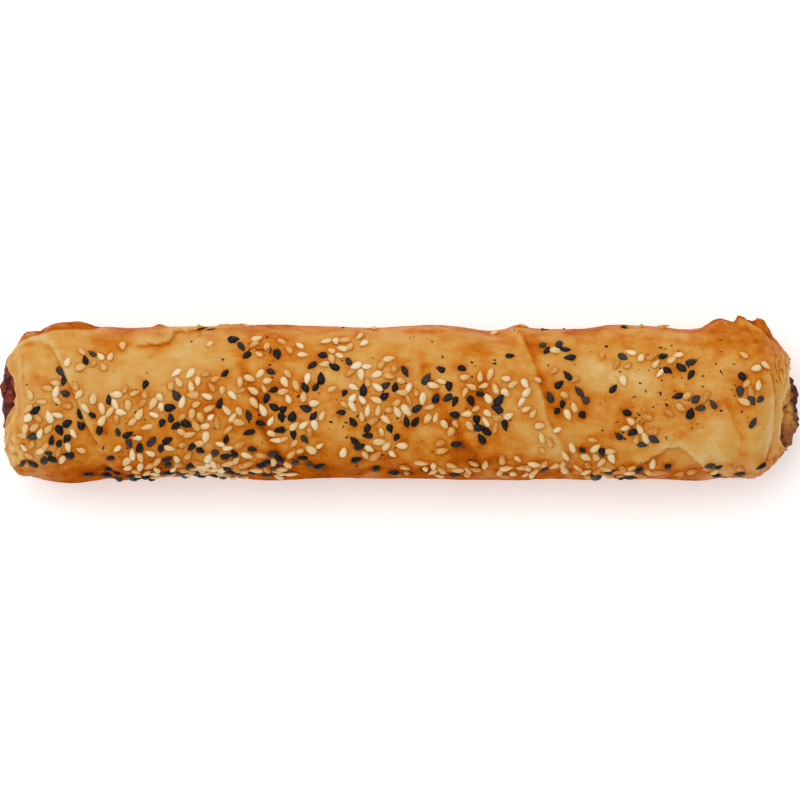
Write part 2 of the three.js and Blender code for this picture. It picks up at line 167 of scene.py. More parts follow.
# Wrap lines: the place on the crest, the step and how far it runs, the dip before it, the angles from and
# to which it shows, how blurred the step is and how much browner
Wrap = namedtuple("Wrap", "along rise run dip start end blur browns")
WANDER = {"rise": 0.8, "times": 3, "length": 107}
WRAPS = (
    Wrap(-83.5, 0.9, 14, 0.2, 5, 215, 1.6, 0.0),
    Wrap(-38.6, 0.7, 5, 0.3, 55, 150, 1.9, 0.34),
    Wrap(10.5, 0.8, 5, 0.3, 55, 150, 1.9, 0.34),
    Wrap(38.3, 1.1, 12, 0.9, 8, 165, 1.7, 0.1),
)
SIDE_WRAPS = tuple(
    wrap._replace(rise=0.5, dip=0.2, start=start, end=end, blur=0.5, browns=0.12)
    for wrap in WRAPS[1:] for start, end in ((196, 236), (-56, -16))
)
WRAP_BLUR = 0.6
DIP_RUN = 5
WRAP_FADE = 18
WRAP_BROWN_AT = 0.9
WRAP_BROWN_REACH = 1.7

# Edges of thin sheets: which hand lies higher as the line is walked (1 is the left), the step and how far
# it runs, the dip below it, how blurred and how ragged it is, how much browner the low side, the high side
# and the thin crease between them are, and the line seen from above, as along and across. The low side's
# browning is mostly painted shade below the step. The high side's is mostly a painted highlight on the pale
# lip, and in places the sheet's own browner tone. The crease's is a painted shadow line
Edge = namedtuple("Edge", "high rise run dip blur ragged under over crease line")
SHEET_EDGES = {
    "left seam": Edge(1, 0.95, 1.8, 0.3, 0.4, 0.1, 0.12, -0.3, 0.06, (
        (-100.8, 13.3), (-99.2, 14.8), (-96.6, 15.9), (-93.2, 16.0), (-91.2, 14.8), (-89.3, 12.2),
        (-87.4, 8.5), (-85.3, 3.8), (-83.3, -0.9), (-81.6, -5.1), (-79.7, -8.8), (-77.5, -11.9),
    )),
    "left back crimp": Edge(-1, 0.35, 2.0, 0.6, 0.22, 0.2, 0.06, -0.14, 0.2, (
        (-102.4, 13.0), (-100.5, 15.1), (-98.2, 16.1), (-95.6, 17.2), (-93.2, 18.0), (-90.6, 18.8),
        (-86.6, 19.0), (-82.7, 18.8), (-80.0, 19.2), (-76.0, 20.4),
    )),
    "torn flake": Edge(1, 0.6, 3.0, 0.15, 0.14, 0.5, 0.14, -0.4, 0.16, (
        (-69.0, 14.9), (-66.5, 15.0), (-63.0, 15.2), (-61.0, 15.6), (-59.8, 16.4), (-59.2, 17.2),
        (-59.1, 18.4), (-57.6, 18.9), (-55.6, 18.6), (-53.4, 19.0), (-51.0, 19.4),
    )),
    "torn flap": Edge(1, 0.5, 3.5, 0.75, 0.18, 0.45, 0.08, -0.26, 0.1, (
        (61.0, -16.6), (63.5, -15.4), (65.1, -14.8), (67.2, -13.5), (69.3, -11.9), (72.5, -11.6),
        (73.5, -12.3), (75.6, -13.8), (77.7, -15.4), (78.8, -16.9), (80.6, -18.0), (83.7, -19.0),
        (87.5, -19.3),
    )),
    "fold beside the flap": Edge(1, 0.9, 5.0, 0.35, 0.5, 0.1, -0.04, 0.2, 0.14, (
        (83.6, 1.6), (84.5, -0.1), (85.8, -2.5), (86.9, -5.9), (88.5, -9.1), (88.7, -11.9), (87.6, -14.5),
    )),
    "pale sheet beside the flap": Edge(1, 0.35, 4.0, 0.1, 0.5, 0.3, -0.06, 0.1, 0.0, (
        (69.3, -11.7), (72.0, -10.0), (74.8, -8.0), (78.2, -5.9), (81.5, -3.0), (84.0, 0.2),
    )),
    "crease in the crown": Edge(-1, 0.8, 2.5, 0.5, 0.3, 0.2, 0.06, -0.22, 0.14, (
        (87.6, 22.0), (89.2, 22.4), (92.4, 20.3), (95.0, 18.2), (96.8, 16.0),
    )),
    "outer sheet at the right end": Edge(-1, 0.7, 3.5, 0.5, 0.14, 0.2, 0.08, -0.24, 0.18, (
        (95.9, 9.0), (96.9, 4.6), (97.4, 1.4), (97.3, -3.3), (97.0, -7.2), (96.3, -11.7), (95.0, -15.6),
        (93.4, -18.5),
    )),
    "outer sheet at the left end": Edge(1, 0.22, 3.0, 0.1, 0.2, 0.4, 0.02, -0.12, 0.05, (
        (-97.7, 13.3), (-97.4, 7.2), (-97.1, 2.0), (-96.9, -2.0),
    )),
    "inner sheet at the left end": Edge(1, 0.25, 2.0, 0.1, 0.16, 0.4, 0.02, -0.14, 0.05, (
        (-100.0, 12.0), (-99.6, 6.6), (-99.0, 0.7), (-98.4, -5.0),
    )),
    "right seam": Edge(1, 0.5, 4.0, 0.3, 0.2, 0.15, -0.24, 0.2, -0.04, (
        (28.8, 21.0), (29.8, 19.9), (31.6, 17.2), (33.6, 12.8), (36.1, 6.1), (37.4, -0.5), (38.0, -3.8),
        (39.5, -7.1), (41.6, -10.4), (43.2, -15.0), (44.5, -19.0), (46.2, -20.4),
    )),
}
EDGE_FADE = 0.08
# Where the painted shadow line in the crease lies, and how far it, the low side's painted shade and the
# lip's painted highlight reach
CREASE_SHADOW_AT = 0.25
CREASE_SHADOW_REACH = 0.4
UNDER_SHADE_REACH = 1.6
LIP_LIGHT_AND_TONE_REACH = 1.5
EDGE_BLEND = 0.3
FRAYS = (("long frays", 0.75), ("short frays", 0.25))
FRAY_STRETCH = (1, 1, 0.25)

# Thin layers laid bare at the right end: first and last place along, and how far across they show. Their
# browning is shade painted deeper the further a place lies down between the layers
BARE_LAYERS = {
    "from": 97.8, "to": 102.4, "number": 5, "low": 3.6, "high": 12.8, "fade_along": 0.5, "fade_across": 1.5,
    "slant": 0.08, "strays": 0.6, "rise": 0.6, "browner": 0.7,
}

# Rolled crimps behind the left sheet's back edge
CRIMPS = {"to": -76.0, "fade": 4, "starts": 0.8, "reach": 4.0, "rise": 0.5, "browner": 0.19}

# Small dimples, and lumps where the height is above 0: along, across, half-length, half-width, height and
# browner by, which in the dimples is partly painted shade in the hollows
DIMPLES = (
    (83.2, 19.2, 1.8, 1.1, -0.9, 0.16),
    (91.4, 17.4, 0.9, 0.6, -0.5, 0.13),
    (92.6, 16.0, 0.8, 0.7, -0.5, 0.13),
    (95.4, 18.8, 1.0, 0.9, 0.6, -0.12),
    (-102.2, -9.4, 1.3, 1.2, 0.7, -0.1),
    (-101.6, -12.4, 1.7, 1.3, 1.0, -0.1),
    (-100.6, -15.6, 1.6, 1.1, 1.0, -0.1),
    (-98.6, -14.0, 1.5, 1.0, 0.5, -0.1),
    (-99.2, -10.4, 1.5, 0.9, 0.5, -0.1),
    (-97.4, 18.0, 2.7, 0.9, 0.9, -0.02),
    (-91.0, 19.6, 2.3, 0.8, 0.8, -0.02),
    (-84.6, 20.6, 4.6, 0.8, 0.6, -0.02),
    (-94.3, 19.0, 0.7, 1.3, -0.8, 0.3),
    (-63.0, 17.6, 1.5, 0.9, 0.5, 0.1),
    (-72.2, 17.0, 1.8, 1.0, 0.5, 0.14),
    (44.0, 4.0, 1.2, 0.9, 0.4, 0.16),
)

# Columns of a table of patches, counted from its end
HEIGHT = -2
BROWNER = -1

# Loose slivers that stand out at the back: along, angle, length, width, lift of the tip, turn. Their nicks
# are times along, share of the drawn shift, and depth
SLIVERS = (
    (-45.6, 17, 8.6, 1.6, 1.0, 8),
    (64.4, 12, 3.6, 1.4, 0.6, 14),
    (60.6, 12, 2.2, 1.0, 0.4, -20),
    (26.0, 8, 2.6, 1.2, 0.5, 6),
    (-52.0, 15, 3.0, 1.0, 0.4, -10),
)
SLIVER_START = 31
SLIVER_SHIFTS = 20
SLIVER_THICKNESS = 0.18
SLIVER_RISE = 0.25
SLIVER_ROOT = (0.3, 0.35)
SLIVER_TAPER = 0.7
SLIVER_ROUNDED = (-0.05, 0.1)
SLIVER_NICKS = ((11, 1, 0.12), (29, 2, 0.08))
SLIVER_CURL = 1.5
SLIVER_TILT = 0.2
SLIVER_RIPPLE = {"times": 9, "rise": 0.1}
SLIVER_BAKE = (0.3, 0.25)
SLIVER_ROWS = 24
SLIVER_COLUMNS = 6

# Kinds of grains: length, width, thickness, taper, how pointed they are, how much their build differs, the
# height and size of their lumps, how proud they lie, the start of their draws, and their mesh
Grain = namedtuple(
    "Grain", "length width thickness taper point variety lumps lump_size proud start corners rings"
)
GRAINS = {
    "pale_seeds": Grain(3.35, 1.95, 1.15, 0.18, 0.32, 0.26, 0.3, 1.5, 0.115, 5, 8, 6),
    "dark_seeds": Grain(3.0, 1.85, 1.25, 0.25, 0.4, 0.26, 0.6, 1.0, 0.125, 6, 8, 6),
    "seed_specks": Grain(0.62, 0.36, 0.28, 0.2, 0.1, 0.4, 0.3, 0.5, 0.05, 9, 5, 3),
    "husk_slivers": Grain(2.8, 0.55, 0.4, 0.1, 0.3, 0.2, 0.5, 0.8, 0.15, 13, 5, 6),
}
GRAIN_TREE = "Sprinkled grains"
GRAIN_TILT = 16
POINT_POWER = 4.0

# How much deeper the grains' tint is to the front and to the right, and from where to where it deepens
TOASTED_FRONT = {"deeper": 0.16, "from": 118, "to": 158}
TOASTED_RIGHT = {"deeper": 0.16, "from": 0, "to": 50}

# The drifts in which the seeds lie: along, half-length, angle, half-angle, pale and dark seeds
DRIFTS = (
    (-95, 7, 112, 26, 20, 9), (-87.7, 4, 89, 16, 5, 5), (-85.8, 3.5, 124, 10, 5, 8),
    (-77, 6, 93, 12, 11, 4), (-77.7, 9, 57, 14, 8, 2), (-68, 6, 93, 12, 9, 6),
    (-67.7, 6.5, 131, 20, 13, 9), (-68, 8, 156, 8, 3, 7), (-53.8, 6, 79, 9, 12, 1),
    (-55, 9, 96, 10, 14, 10), (-51, 14, 134, 18, 26, 18), (-48, 7, 160, 9, 6, 12),
    (-44, 4.5, 91, 13, 8, 2), (-34, 8, 45, 10, 8, 3), (-26.8, 7, 82, 12, 11, 8),
    (-27.5, 8, 113, 22, 15, 12), (-15, 5, 43, 7, 8, 1), (-18.4, 5, 61, 8, 3, 4),
    (-5.8, 6.5, 73, 9, 12, 2), (-6.6, 8, 91, 11, 15, 10), (-5.8, 5, 119, 14, 8, 8),
    (5, 4.5, 90, 14, 8, 1), (12.3, 5.5, 102, 14, 8, 5), (18, 6, 79, 12, 8, 5),
    (22.3, 4.5, 97, 12, 5, 9), (23.6, 22, 147, 11, 28, 2), (34, 6, 86, 20, 10, 0),
    (40, 3, 50, 4, 1, 4), (43.8, 4.5, 86, 15, 5, 7), (42, 7, 119, 12, 9, 0),
    (61.5, 4, 107, 9, 8, 6), (51, 4, 136, 9, 7, 5), (60, 8, 156, 9, 9, 4),
    (57, 7, 61, 16, 7, 2), (70, 4.5, 61, 14, 4, 5), (75.6, 5, 90, 7, 4, 6),
    (91, 5, 81, 20, 7, 5), (79, 15, 148, 10, 6, 6), (0, 75, 80, 45, 8, 6), (25, 60, 14, 6, 3, 1),
)
LATE_DRIFTS = (
    (-84, 6, 157, 9, 0, 1), (-71, 6, 157, 9, 0, 2), (-58, 7, 152, 9, 3, 2), (-45, 7, 150, 9, 9, 3),
    (-32, 6, 150, 9, 5, 3), (-6, 6, 152, 9, 0, 2), (33, 7, 150, 10, 4, 0), (56, 8, 150, 10, 5, 2),
)
SEED_SPACING = 2.1
LATE_SPACING = 1.6
SIZE_SPREAD = 0.22
DRIFT_EDGE = 1.6
SEEDS_REACH = 99
SEEDS_FROM = 12
SEEDS_TO = 200
TRIES = 40

# Tiny dark specks: along, half-length, angle, half-angle, number
SPECK_DRIFTS = (
    (0, 92, 95, 70, 110), (66, 16, 75, 35, 60), (60, 8, 105, 14, 26), (-37, 8, 45, 14, 18),
    (-60, 30, 110, 40, 44), (-20, 30, 95, 30, 30), (88, 8, 80, 30, 14),
)
SPECK_START = 7
SPECK_SPREAD = 1.1
SPECK_LEAST = 0.35
SPECKS_REACH = 98
SPECKS_FROM = 8
SPECKS_TO = 178

# Dark slivers of husk: along, angle, heading and size
HUSKS = (
    (-51.6, 17, 8, 1.1), (-49.4, 20, -4, 1.0), (-96.2, 97, 100, 1.1), (-95.6, 92, 60, 0.6),
    (38.2, 21, 24, 0.9), (83.6, 71, -60, 0.6), (-33.8, 51, 80, 0.8), (60.8, 87, 20, 0.6),
    (-68.4, 112, -10, 0.8), (-77.0, 122, 70, 0.7),
)

# How brown the pastry is baked, seen from above: along, across, half-length, half-width, browner by
BAKED_PATCHES = (
    (-93.5, 7.0, 6, 7, -0.2), (-80.5, 7.0, 7, 8, -0.18), (-74.5, 15.5, 5, 2.4, 0.2),
    (-69.0, 13.0, 3, 3, -0.14), (-56.0, 11.0, 10, 7, -0.22), (-52.0, -1.0, 6, 5, 0.16),
    (-38.0, 13.0, 14, 8, 0.06), (-31.0, 3.0, 6, 5, 0.16), (-60.0, -14.0, 30, 5, 0.06),
    (-84.0, -18.0, 9, 3, 0.16), (-21.0, -4.0, 6, 5, -0.15), (-20.0, -16.0, 9, 5, 0.2),
    (0.0, -14.0, 9, 6, 0.22), (5.0, 14.5, 7, 4, -0.14), (10.5, 6.0, 5, 5, -0.44),
    (17.0, -13.0, 8, 5, 0.17), (20.5, 4.0, 6, 6, 0.16), (31.5, 0.0, 5, 6, -0.14),
    (35.0, 16.5, 4, 4, 0.2), (40.5, 2.0, 3, 5, 0.1), (42.0, -11.5, 5, 4, -0.18),
    (53.0, -1.0, 5, 4, 0.14), (51.0, 9.0, 8, 5, -0.16), (60.0, 6.5, 8, 5, -0.2),
    (63.0, -11.5, 6, 3, -0.06), (70.0, -15.5, 5, 3, 0.06), (82.0, -11.5, 6, 6, -0.3),
    (91.5, -3.0, 4, 5, 0.1), (95.5, -9.0, 4, 8, -0.1), (90.0, 18.0, 12, 5, 0.21),
    (96.0, 11.0, 5, 5, 0.16),
    (-86.0, 20.5, 10, 2.5, 0.12), (-100.6, -13.0, 3.5, 4.5, -0.24), (49.0, 17.0, 10, 5, 0.3),
    (26.0, 15.0, 7, 5, 0.11), (95.0, 14.5, 4, 4, 0.09), (99.6, -2.0, 1.8, 8, -0.2),
    (92.0, -17.6, 5, 2.6, -0.24), (-63.0, 13.0, 4, 5, 0.22),
    (-84.0, 12.5, 4, 4, -0.13), (-21.0, 10.0, 5, 5, -0.11), (-94.0, -2.0, 5, 6, -0.12),
    (-73.5, 2.0, 4, 3, -0.1), (-42.0, 2.0, 4, 3, -0.11), (-84.0, -3.3, 4, 3, -0.1),
    (-26.0, -3.3, 8, 3, -0.12), (-63.0, -8.5, 5, 3, 0.18), (-42.0, -8.5, 10, 3, 0.1),
    (-21.0, -9.0, 5, 3.5, 0.16), (-26.0, -13.5, 8, 3, 0.1), (-84.0, -13.3, 4, 3, 0.12),
    (31.5, -14.0, 6, 4, 0.11), (79.0, -13.5, 7, 3, -0.13), (-94.0, -17.0, 5, 4, -0.28),
    (-47.0, -18.0, 8, 3, -0.22), (84.0, -18.0, 4, 3, -0.24), (52.5, -17.7, 4, 3, -0.09),
    (22.0, 12.5, 4, 4, 0.12), (31.5, 8.0, 4, 4, 0.11), (-52.5, -6.5, 5, 4, 0.1),
    (73.5, -13.3, 4, 3, -0.1), (-73.5, -13.3, 4, 3, -0.09),
)
BAKE_PLAIN = 0.42
BAKE_HIGH = 0.76
BAKE_SQUEEZE = 0.42
PATCHES_BELOW = 0.25
BAKED_CLOUDS = (("broad browning", 0.15), ("middling browning", 0.17), ("fine browning", 0.12))
CLOUD_STRETCH = (1.5, 1, 1)
# A browner ring round each seed: partly glaze pooled round it, partly painted contact shade
SEED_HALO_AND_SHADE = {"reach": 1.7, "browner": 0.25}

# Browning of the sides, partly real and partly painted shade where less light falls on them: by how much,
# and the angles from the crest between which it comes or fades
FRONT_BROWNING_AND_SHADE = 0.42
FRONT_RAMP = (28, 90)
BACK_BROWNING_AND_SHADE = 0.26
BACK_RAMP = (52, 88)
SIDE_FADE = 0.85
SIDE_RAMP = (98, 132)
BAKED_UNDER = 0.2

# How steeply up the skin faces, as a sine, where things come into view
ABOVE = (-0.25, 0.05)
PATCHES_ABOVE = (-0.25, 0.25)
CRIMPS_ABOVE = (-0.06, 0.16)
UNDERSIDE = (0.2, 0.9)

# Soft random heights: size of the lumps, octaves, and how far into the noise they are taken
CLOUDS = {
    "wrinkles": (6.0, 3, 0.0), "fine wrinkles": (1.5, 2, 3.0), "crimps": (4.5, 2, 4.0),
    "crumple": (4.2, 2, 8.0), "bare layers": (2.6, 2, 7.0), "layer ends": (4.0, 3, 9.0),
    "long frays": (2.8, 2, 6.0), "short frays": (0.9, 2, 6.0), "rim frays": (2.2, 2, 12.0),
    "rim waves": (5.0, 2, 5.0), "rim sheets": (3.0, 2, 2.0), "rim grain": (2.2, 3, 5.0),
    "rim mottles": (2.5, 3, 0.0), "crust along": (2.5, 2, 1.0), "crust across": (2.5, 2, 2.0),
    "crust upward": (2.5, 2, 3.0), "filling crumbs": (1.2, 2, 2.0), "broad browning": (14.0, 3, 11.0),
    "middling browning": (5.0, 3, 12.0), "fine browning": (2.0, 3, 13.0),
}
CLOUD_WAY = (1.0, 2.7, -1.3)
CLOUD_FALL = 1.0
CLOUD_STEP = 2.0
CREASE_SHARPNESS = 2.2
FINE_WRINKLES = 0.4

# How finely the meshes are made
BODY_RINGS = 352
END_RINGS = 42
EDGE_RINGS = (-0.55, -0.35, -0.2, -0.07, 0.07, 0.2, 0.35, 0.55)
TOP_SIDES = 164
UNDER_SIDES = 28
TOP_FROM = -20
TOP_TO = 200
RIM_RINGS = 9
TUNNEL_RINGS = 5
FILLING_SIDES = 144
TIP_RINGS = 44
PROBE_LENGTH = 0.5
PROBE_TURN = 1.7

# The stage: the photograph's frame and the floor, the key light in metres, and the camera's sensor in
# millimetres and its reach in metres
FRAME_WIDTH = 210.0
FRAME_UP = 0.66
FLOOR_REACH = 2000.0
KEY_SIZE = (1.3, 1.0)
KEY_PLACE = (-0.35, 0.45, 1.4)
SENSOR_WIDTH = 36.0
CAMERA_REACH = 10.0


def srgb(red, green, blue):
    """Linear colour from the 0 to 255 numbers that a colour picker shows."""
    shares = [value / 255 for value in (red, green, blue)]
    return tuple(s / 12.92 if s <= 0.04045 else ((s + 0.055) / 1.055) ** 2.4 for s in shares)


def smooth(value, low, high):
    """0 below low, 1 above high, and an even curve between."""
    share = np.clip((value - low) / (high - low), 0, 1)
    return share * share * (3 - 2 * share)


def past(value, limit, fade):
    """0 well below a limit, 1 well above it."""
    return smooth(value, limit - fade, limit + fade)


def bell(distance):
    """1 in the middle, falling evenly to 0."""
    return np.exp(-distance * distance)


def unit(vectors):
    """Vectors with the same directions and a length of 1."""
    return vectors / np.linalg.norm(vectors, axis=1, keepdims=True)


def between(start, end):
    """Angle from one direction to another, the short way round."""
    return (end - start + 180) % 360 - 180


def facing_up(angle, ramp):
    """0 to 1 as the skin turns up through a ramp of sines."""
    return smooth(np.sin(np.radians(angle)), *ramp)


def on_tube(station, angle, radius):
    """Points on a plain tube, for noise that follows the skin."""
    turn = np.radians(angle)
    return np.stack([station, radius * np.cos(turn), radius * np.sin(turn)], axis=-1)


def at_end(station, name):
    """A number of the end that each station is nearer to."""
    return np.where(station < 0, LEFT[name], RIGHT[name])


def cloud(points, name):
    """Soft random heights between about -1 and 1 at points in millimetres."""
    size, octaves, shift = CLOUDS[name]
    moved = (points / size + shift * np.array(CLOUD_WAY)).tolist()
    return np.array([noise.fractal(place, CLOUD_FALL, CLOUD_STEP, octaves) for place in moved])


def creases(points, name):
    """Sharp random ridges: 1 on a crease and 0 far from one."""
    return 1 - np.minimum(1, CREASE_SHARPNESS * np.abs(cloud(points, name)))


def packed_lumps(points, size, shift=0.0):
    """Rounded lumps side by side: 1 on top of a lump and 0 in the seams between them."""
    moved = (points / size + shift).tolist()
    return np.array([1 - min(1, noise.voronoi(place)[0][0]) for place in moved])


class Draws:
    """Draws that are the same on every run: a 32-bit linear congruential generator."""

    FACTOR = 1664525
    STEP = 1013904223
    SIZE = 2**32

    def __init__(self, start):
        self.state = start

    def next(self):
        self.state = (self.state * self.FACTOR + self.STEP) % self.SIZE
        return self.state / self.SIZE

    def middling(self):
        """A draw between -1 and 1 that favours the middle."""
        return (self.next() + self.next() + self.next()) * 2 / 3 - 1


def raised(table, x, angle):
    """Height of the swellings and dents in a table."""
    return sum(
        rise * bell((x - along) / length) * bell(between(middle, angle) / spread)
        for along, length, middle, spread, rise in table
    )


def patches(points, table, column):
    """Sum of one column of a table of patches, seen from above, over the points they reach."""
    total = np.zeros(len(points))
    for patch in table:
        along, across, length, width = patch[:4]
        near = bell((points[:, 0] - along) / length) * bell((points[:, 1] - across) / width)
        total += patch[column] * near
    return total


def share_of(place, x, angle):
    """1 in the middle of a named place on the skin, falling to 0 away from it."""
    near = bell((x - place["along"]) / place["length"])
    return near * bell(between(place["angle"], angle) / place["spread"])


def stepped(distance, rise, run, dip, dip_run, blur):
    """Height at a sheet's edge: a dip before it, and a step at it that dies away."""
    low = -dip * np.exp(np.minimum(distance, 0) / dip_run)
    high = rise * np.exp(-np.maximum(distance, 0) / run)
    return low + (high - low) * past(distance, 0, blur)


def edge_distances(edge, points):
    """Signed distance of points from a sheet's edge, above 0 on its high side, and how plainly it shows."""
    line = np.array(edge.line)
    starts, spans = line[:-1], np.diff(line, axis=0)
    lengths = np.linalg.norm(spans, axis=1)
    walked = np.concatenate([[0], np.cumsum(lengths)])
    best = np.full(len(points), np.inf)
    signed, share = np.zeros(len(points)), np.zeros(len(points))
    for start, span, length, before in zip(starts, spans, lengths, walked):
        gap = points[:, :2] - start
        along = np.clip(gap @ span / length**2, 0, 1)
        distance = np.linalg.norm(gap - along[:, None] * span, axis=1)
        left = np.where(span[0] * gap[:, 1] - span[1] * gap[:, 0] > 0, 1, -1)
        nearer = distance < best
        best = np.where(nearer, distance, best)
        signed = np.where(nearer, left * distance, signed)
        share = np.where(nearer, (before + along * length) / walked[-1], share)
    shown = smooth(share, 0, EDGE_FADE) * (1 - smooth(share, 1 - EDGE_FADE, 1))
    return edge.high * signed, shown


def near_edges(points):
    """Each sheet's edge, how far points lie from its frayed line, and how plainly it shows."""
    frayed = sum(share * cloud(points * FRAY_STRETCH, name) for name, share in FRAYS)
    for edge in SHEET_EDGES.values():
        distance, shown = edge_distances(edge, points)
        yield edge, distance + edge.ragged * frayed, shown


def edge_relief(points):
    """Steps of thin sheets, and the frayed lips along them."""
    height = np.zeros(len(points))
    for edge, distance, shown in near_edges(points):
        height += shown * stepped(distance, edge.rise, edge.run, edge.dip, edge.run, edge.blur)
    return height


def edge_light_shade_and_tone(points):
    """How much browner the skin is on both sides of the sheets' edges: painted shade on the low side and
    in the crease, a painted highlight on the pale lip, and in places the sheets' own tone.
    """
    browner = np.zeros(len(points))
    for edge, distance, shown in near_edges(points):
        high = past(distance, 0, EDGE_BLEND)
        # Painted shade on the low side, a painted highlight or the sheet's own tone on the lip, and a
        # painted shadow line in the crease
        under = edge.under * bell(distance / UNDER_SHADE_REACH) * (1 - high)
        over = edge.over * bell(distance / LIP_LIGHT_AND_TONE_REACH) * high
        crease = edge.crease * bell((distance + CREASE_SHADOW_AT) / CREASE_SHADOW_REACH)
        browner += shown * (under + over + crease)
    return browner


def bare_layers(points):
    """Thin upright layers beside the filling at the right end: how far each place is down from one."""
    bare, y = BARE_LAYERS, points[:, 1]
    spacing = (bare["to"] - bare["from"]) / bare["number"]
    x = points[:, 0] + bare["slant"] * y + bare["strays"] * cloud(points, "bare layers")
    shown = past(x, bare["from"], bare["fade_along"]) * past(y, bare["low"], bare["fade_across"])
    shown *= 1 - past(y, bare["high"], bare["fade_across"])
    return shown * ((x - bare["from"]) / spacing % 1 - 0.5)


def crimp_share(points):
    """1 on the rolled crimps at the left back, 0 elsewhere."""
    behind = -edge_distances(SHEET_EDGES["left back crimp"], points)[0]
    near = smooth(behind, 0, CRIMPS["starts"]) * bell(behind / CRIMPS["reach"])
    return near * (1 - smooth(points[:, 0], CRIMPS["to"] - CRIMPS["fade"], CRIMPS["to"]))


def crumple_ridges(points, angle, level):
    """Ridges of the crumpled crown, above 0 where they are higher than a level."""
    return share_of(CRUMPLE, points[:, 0], angle) * (creases(points, "crumple") - level)


def crust_lumps(points, angle):
    """Rounded lumps of the crust: above 0 on a lump and below it in the seams."""
    ways = ("crust along", "crust across", "crust upward")
    strays = np.stack([cloud(points, way) for way in ways], axis=-1)
    packed = packed_lumps(points + CRUST["strays"] * strays, CRUST["size"], CRUST["shift"])
    return share_of(CRUST, points[:, 0], angle) * (packed - 0.5)


def layers_at(station, angle):
    """The thin sheets that end one after another towards each rim: how plainly they show, and how far
    across its own sheet each place lies."""
    out = np.maximum((np.abs(station) - at_end(station, "rim")) / at_end(station, "reach") + 1, 0)
    turn = np.radians(angle)
    wobble = sum(rise * np.sin(times * turn + start) for times, start, rise in LAYER_WOBBLE)
    ragged = LAYER_RAGGED * cloud(on_tube(station, angle, LAYER_RADIUS), "layer ends")
    aside = between(at_end(station, "covered_angle"), angle) / at_end(station, "covered_spread")
    shown = smooth(out, *LAYERS_SHOWN) * (1 - at_end(station, "covered") * bell(aside * aside))
    return shown, (out * at_end(station, "layers") + wobble + ragged) % 1


def layer_relief(station, angle):
    """Each sheet rises to its lip and steps down to the next."""
    shown, share = layers_at(station, angle)
    risen = np.where(share < LAYER_LIP, share / LAYER_LIP, (1 - share) / (1 - LAYER_LIP))
    return LAYER_RISE * shown * (risen - 0.5)


def free_of_tray(angle):
    """1 where the skin is free, 0 where it lies on the tray."""
    return 1 - past(np.abs(between(CREST, angle)), FREE_OF_TRAY, TRAY_FADE)


def wrap_shown(wrap, angle):
    """1 between the angles where a wrap line shows, 0 beyond them."""
    from_middle = np.abs(between((wrap.start + wrap.end) / 2, angle))
    return 1 - past(from_middle, (wrap.end - wrap.start) / 2, WRAP_FADE)


def wrap_relief(wrap, station, angle, blur):
    """The step of a wound sheet at its wrap line."""
    step = stepped(station - wrap.along, wrap.rise, wrap.run, wrap.dip, DIP_RUN, blur)
    return wrap_shown(wrap, angle) * step


def girth_at(station):
    """How far the section is drawn in towards the rims, as a share of its full size."""
    reach = at_end(station, "reach")
    rounded = np.clip((np.abs(station) - at_end(station, "rim") + reach) / reach, 0, 1)
    return 1 - (1 - RIM_GIRTH) * rounded ** at_end(station, "bluntness")


def near_rim(station):
    """1 at the rims, 0 along the body."""
    rim = at_end(station, "rim")
    return smooth(np.abs(station), rim - at_end(station, "reach"), rim)


def ragged_rim(station, angle):
    """How far the rims stand out from a straight cut, with a bite where the filling shows."""
    turn = np.radians(angle)
    phase = at_end(station, "phase")
    swing = np.sin(turn + phase) + np.sin(RAGGED_TIMES * turn + 2 * phase) / 2
    aside = between(at_end(station, "bite_angle"), angle) / at_end(station, "bite_spread")
    return at_end(station, "ragged") * swing - at_end(station, "bite") * bell(aside * aside)


def rim_wear(station, angle):
    """How far the rims are worn and frayed back from their plain lines."""
    frayed = RIM_FRAY * cloud(on_tube(station, angle, RIM_RADIUS), "rim frays")
    worn = sum(depth * bell(between(middle, angle) / spread) for middle, spread, depth in WORN_LEFT)
    return near_rim(station) * (frayed + worn * (station < 0))


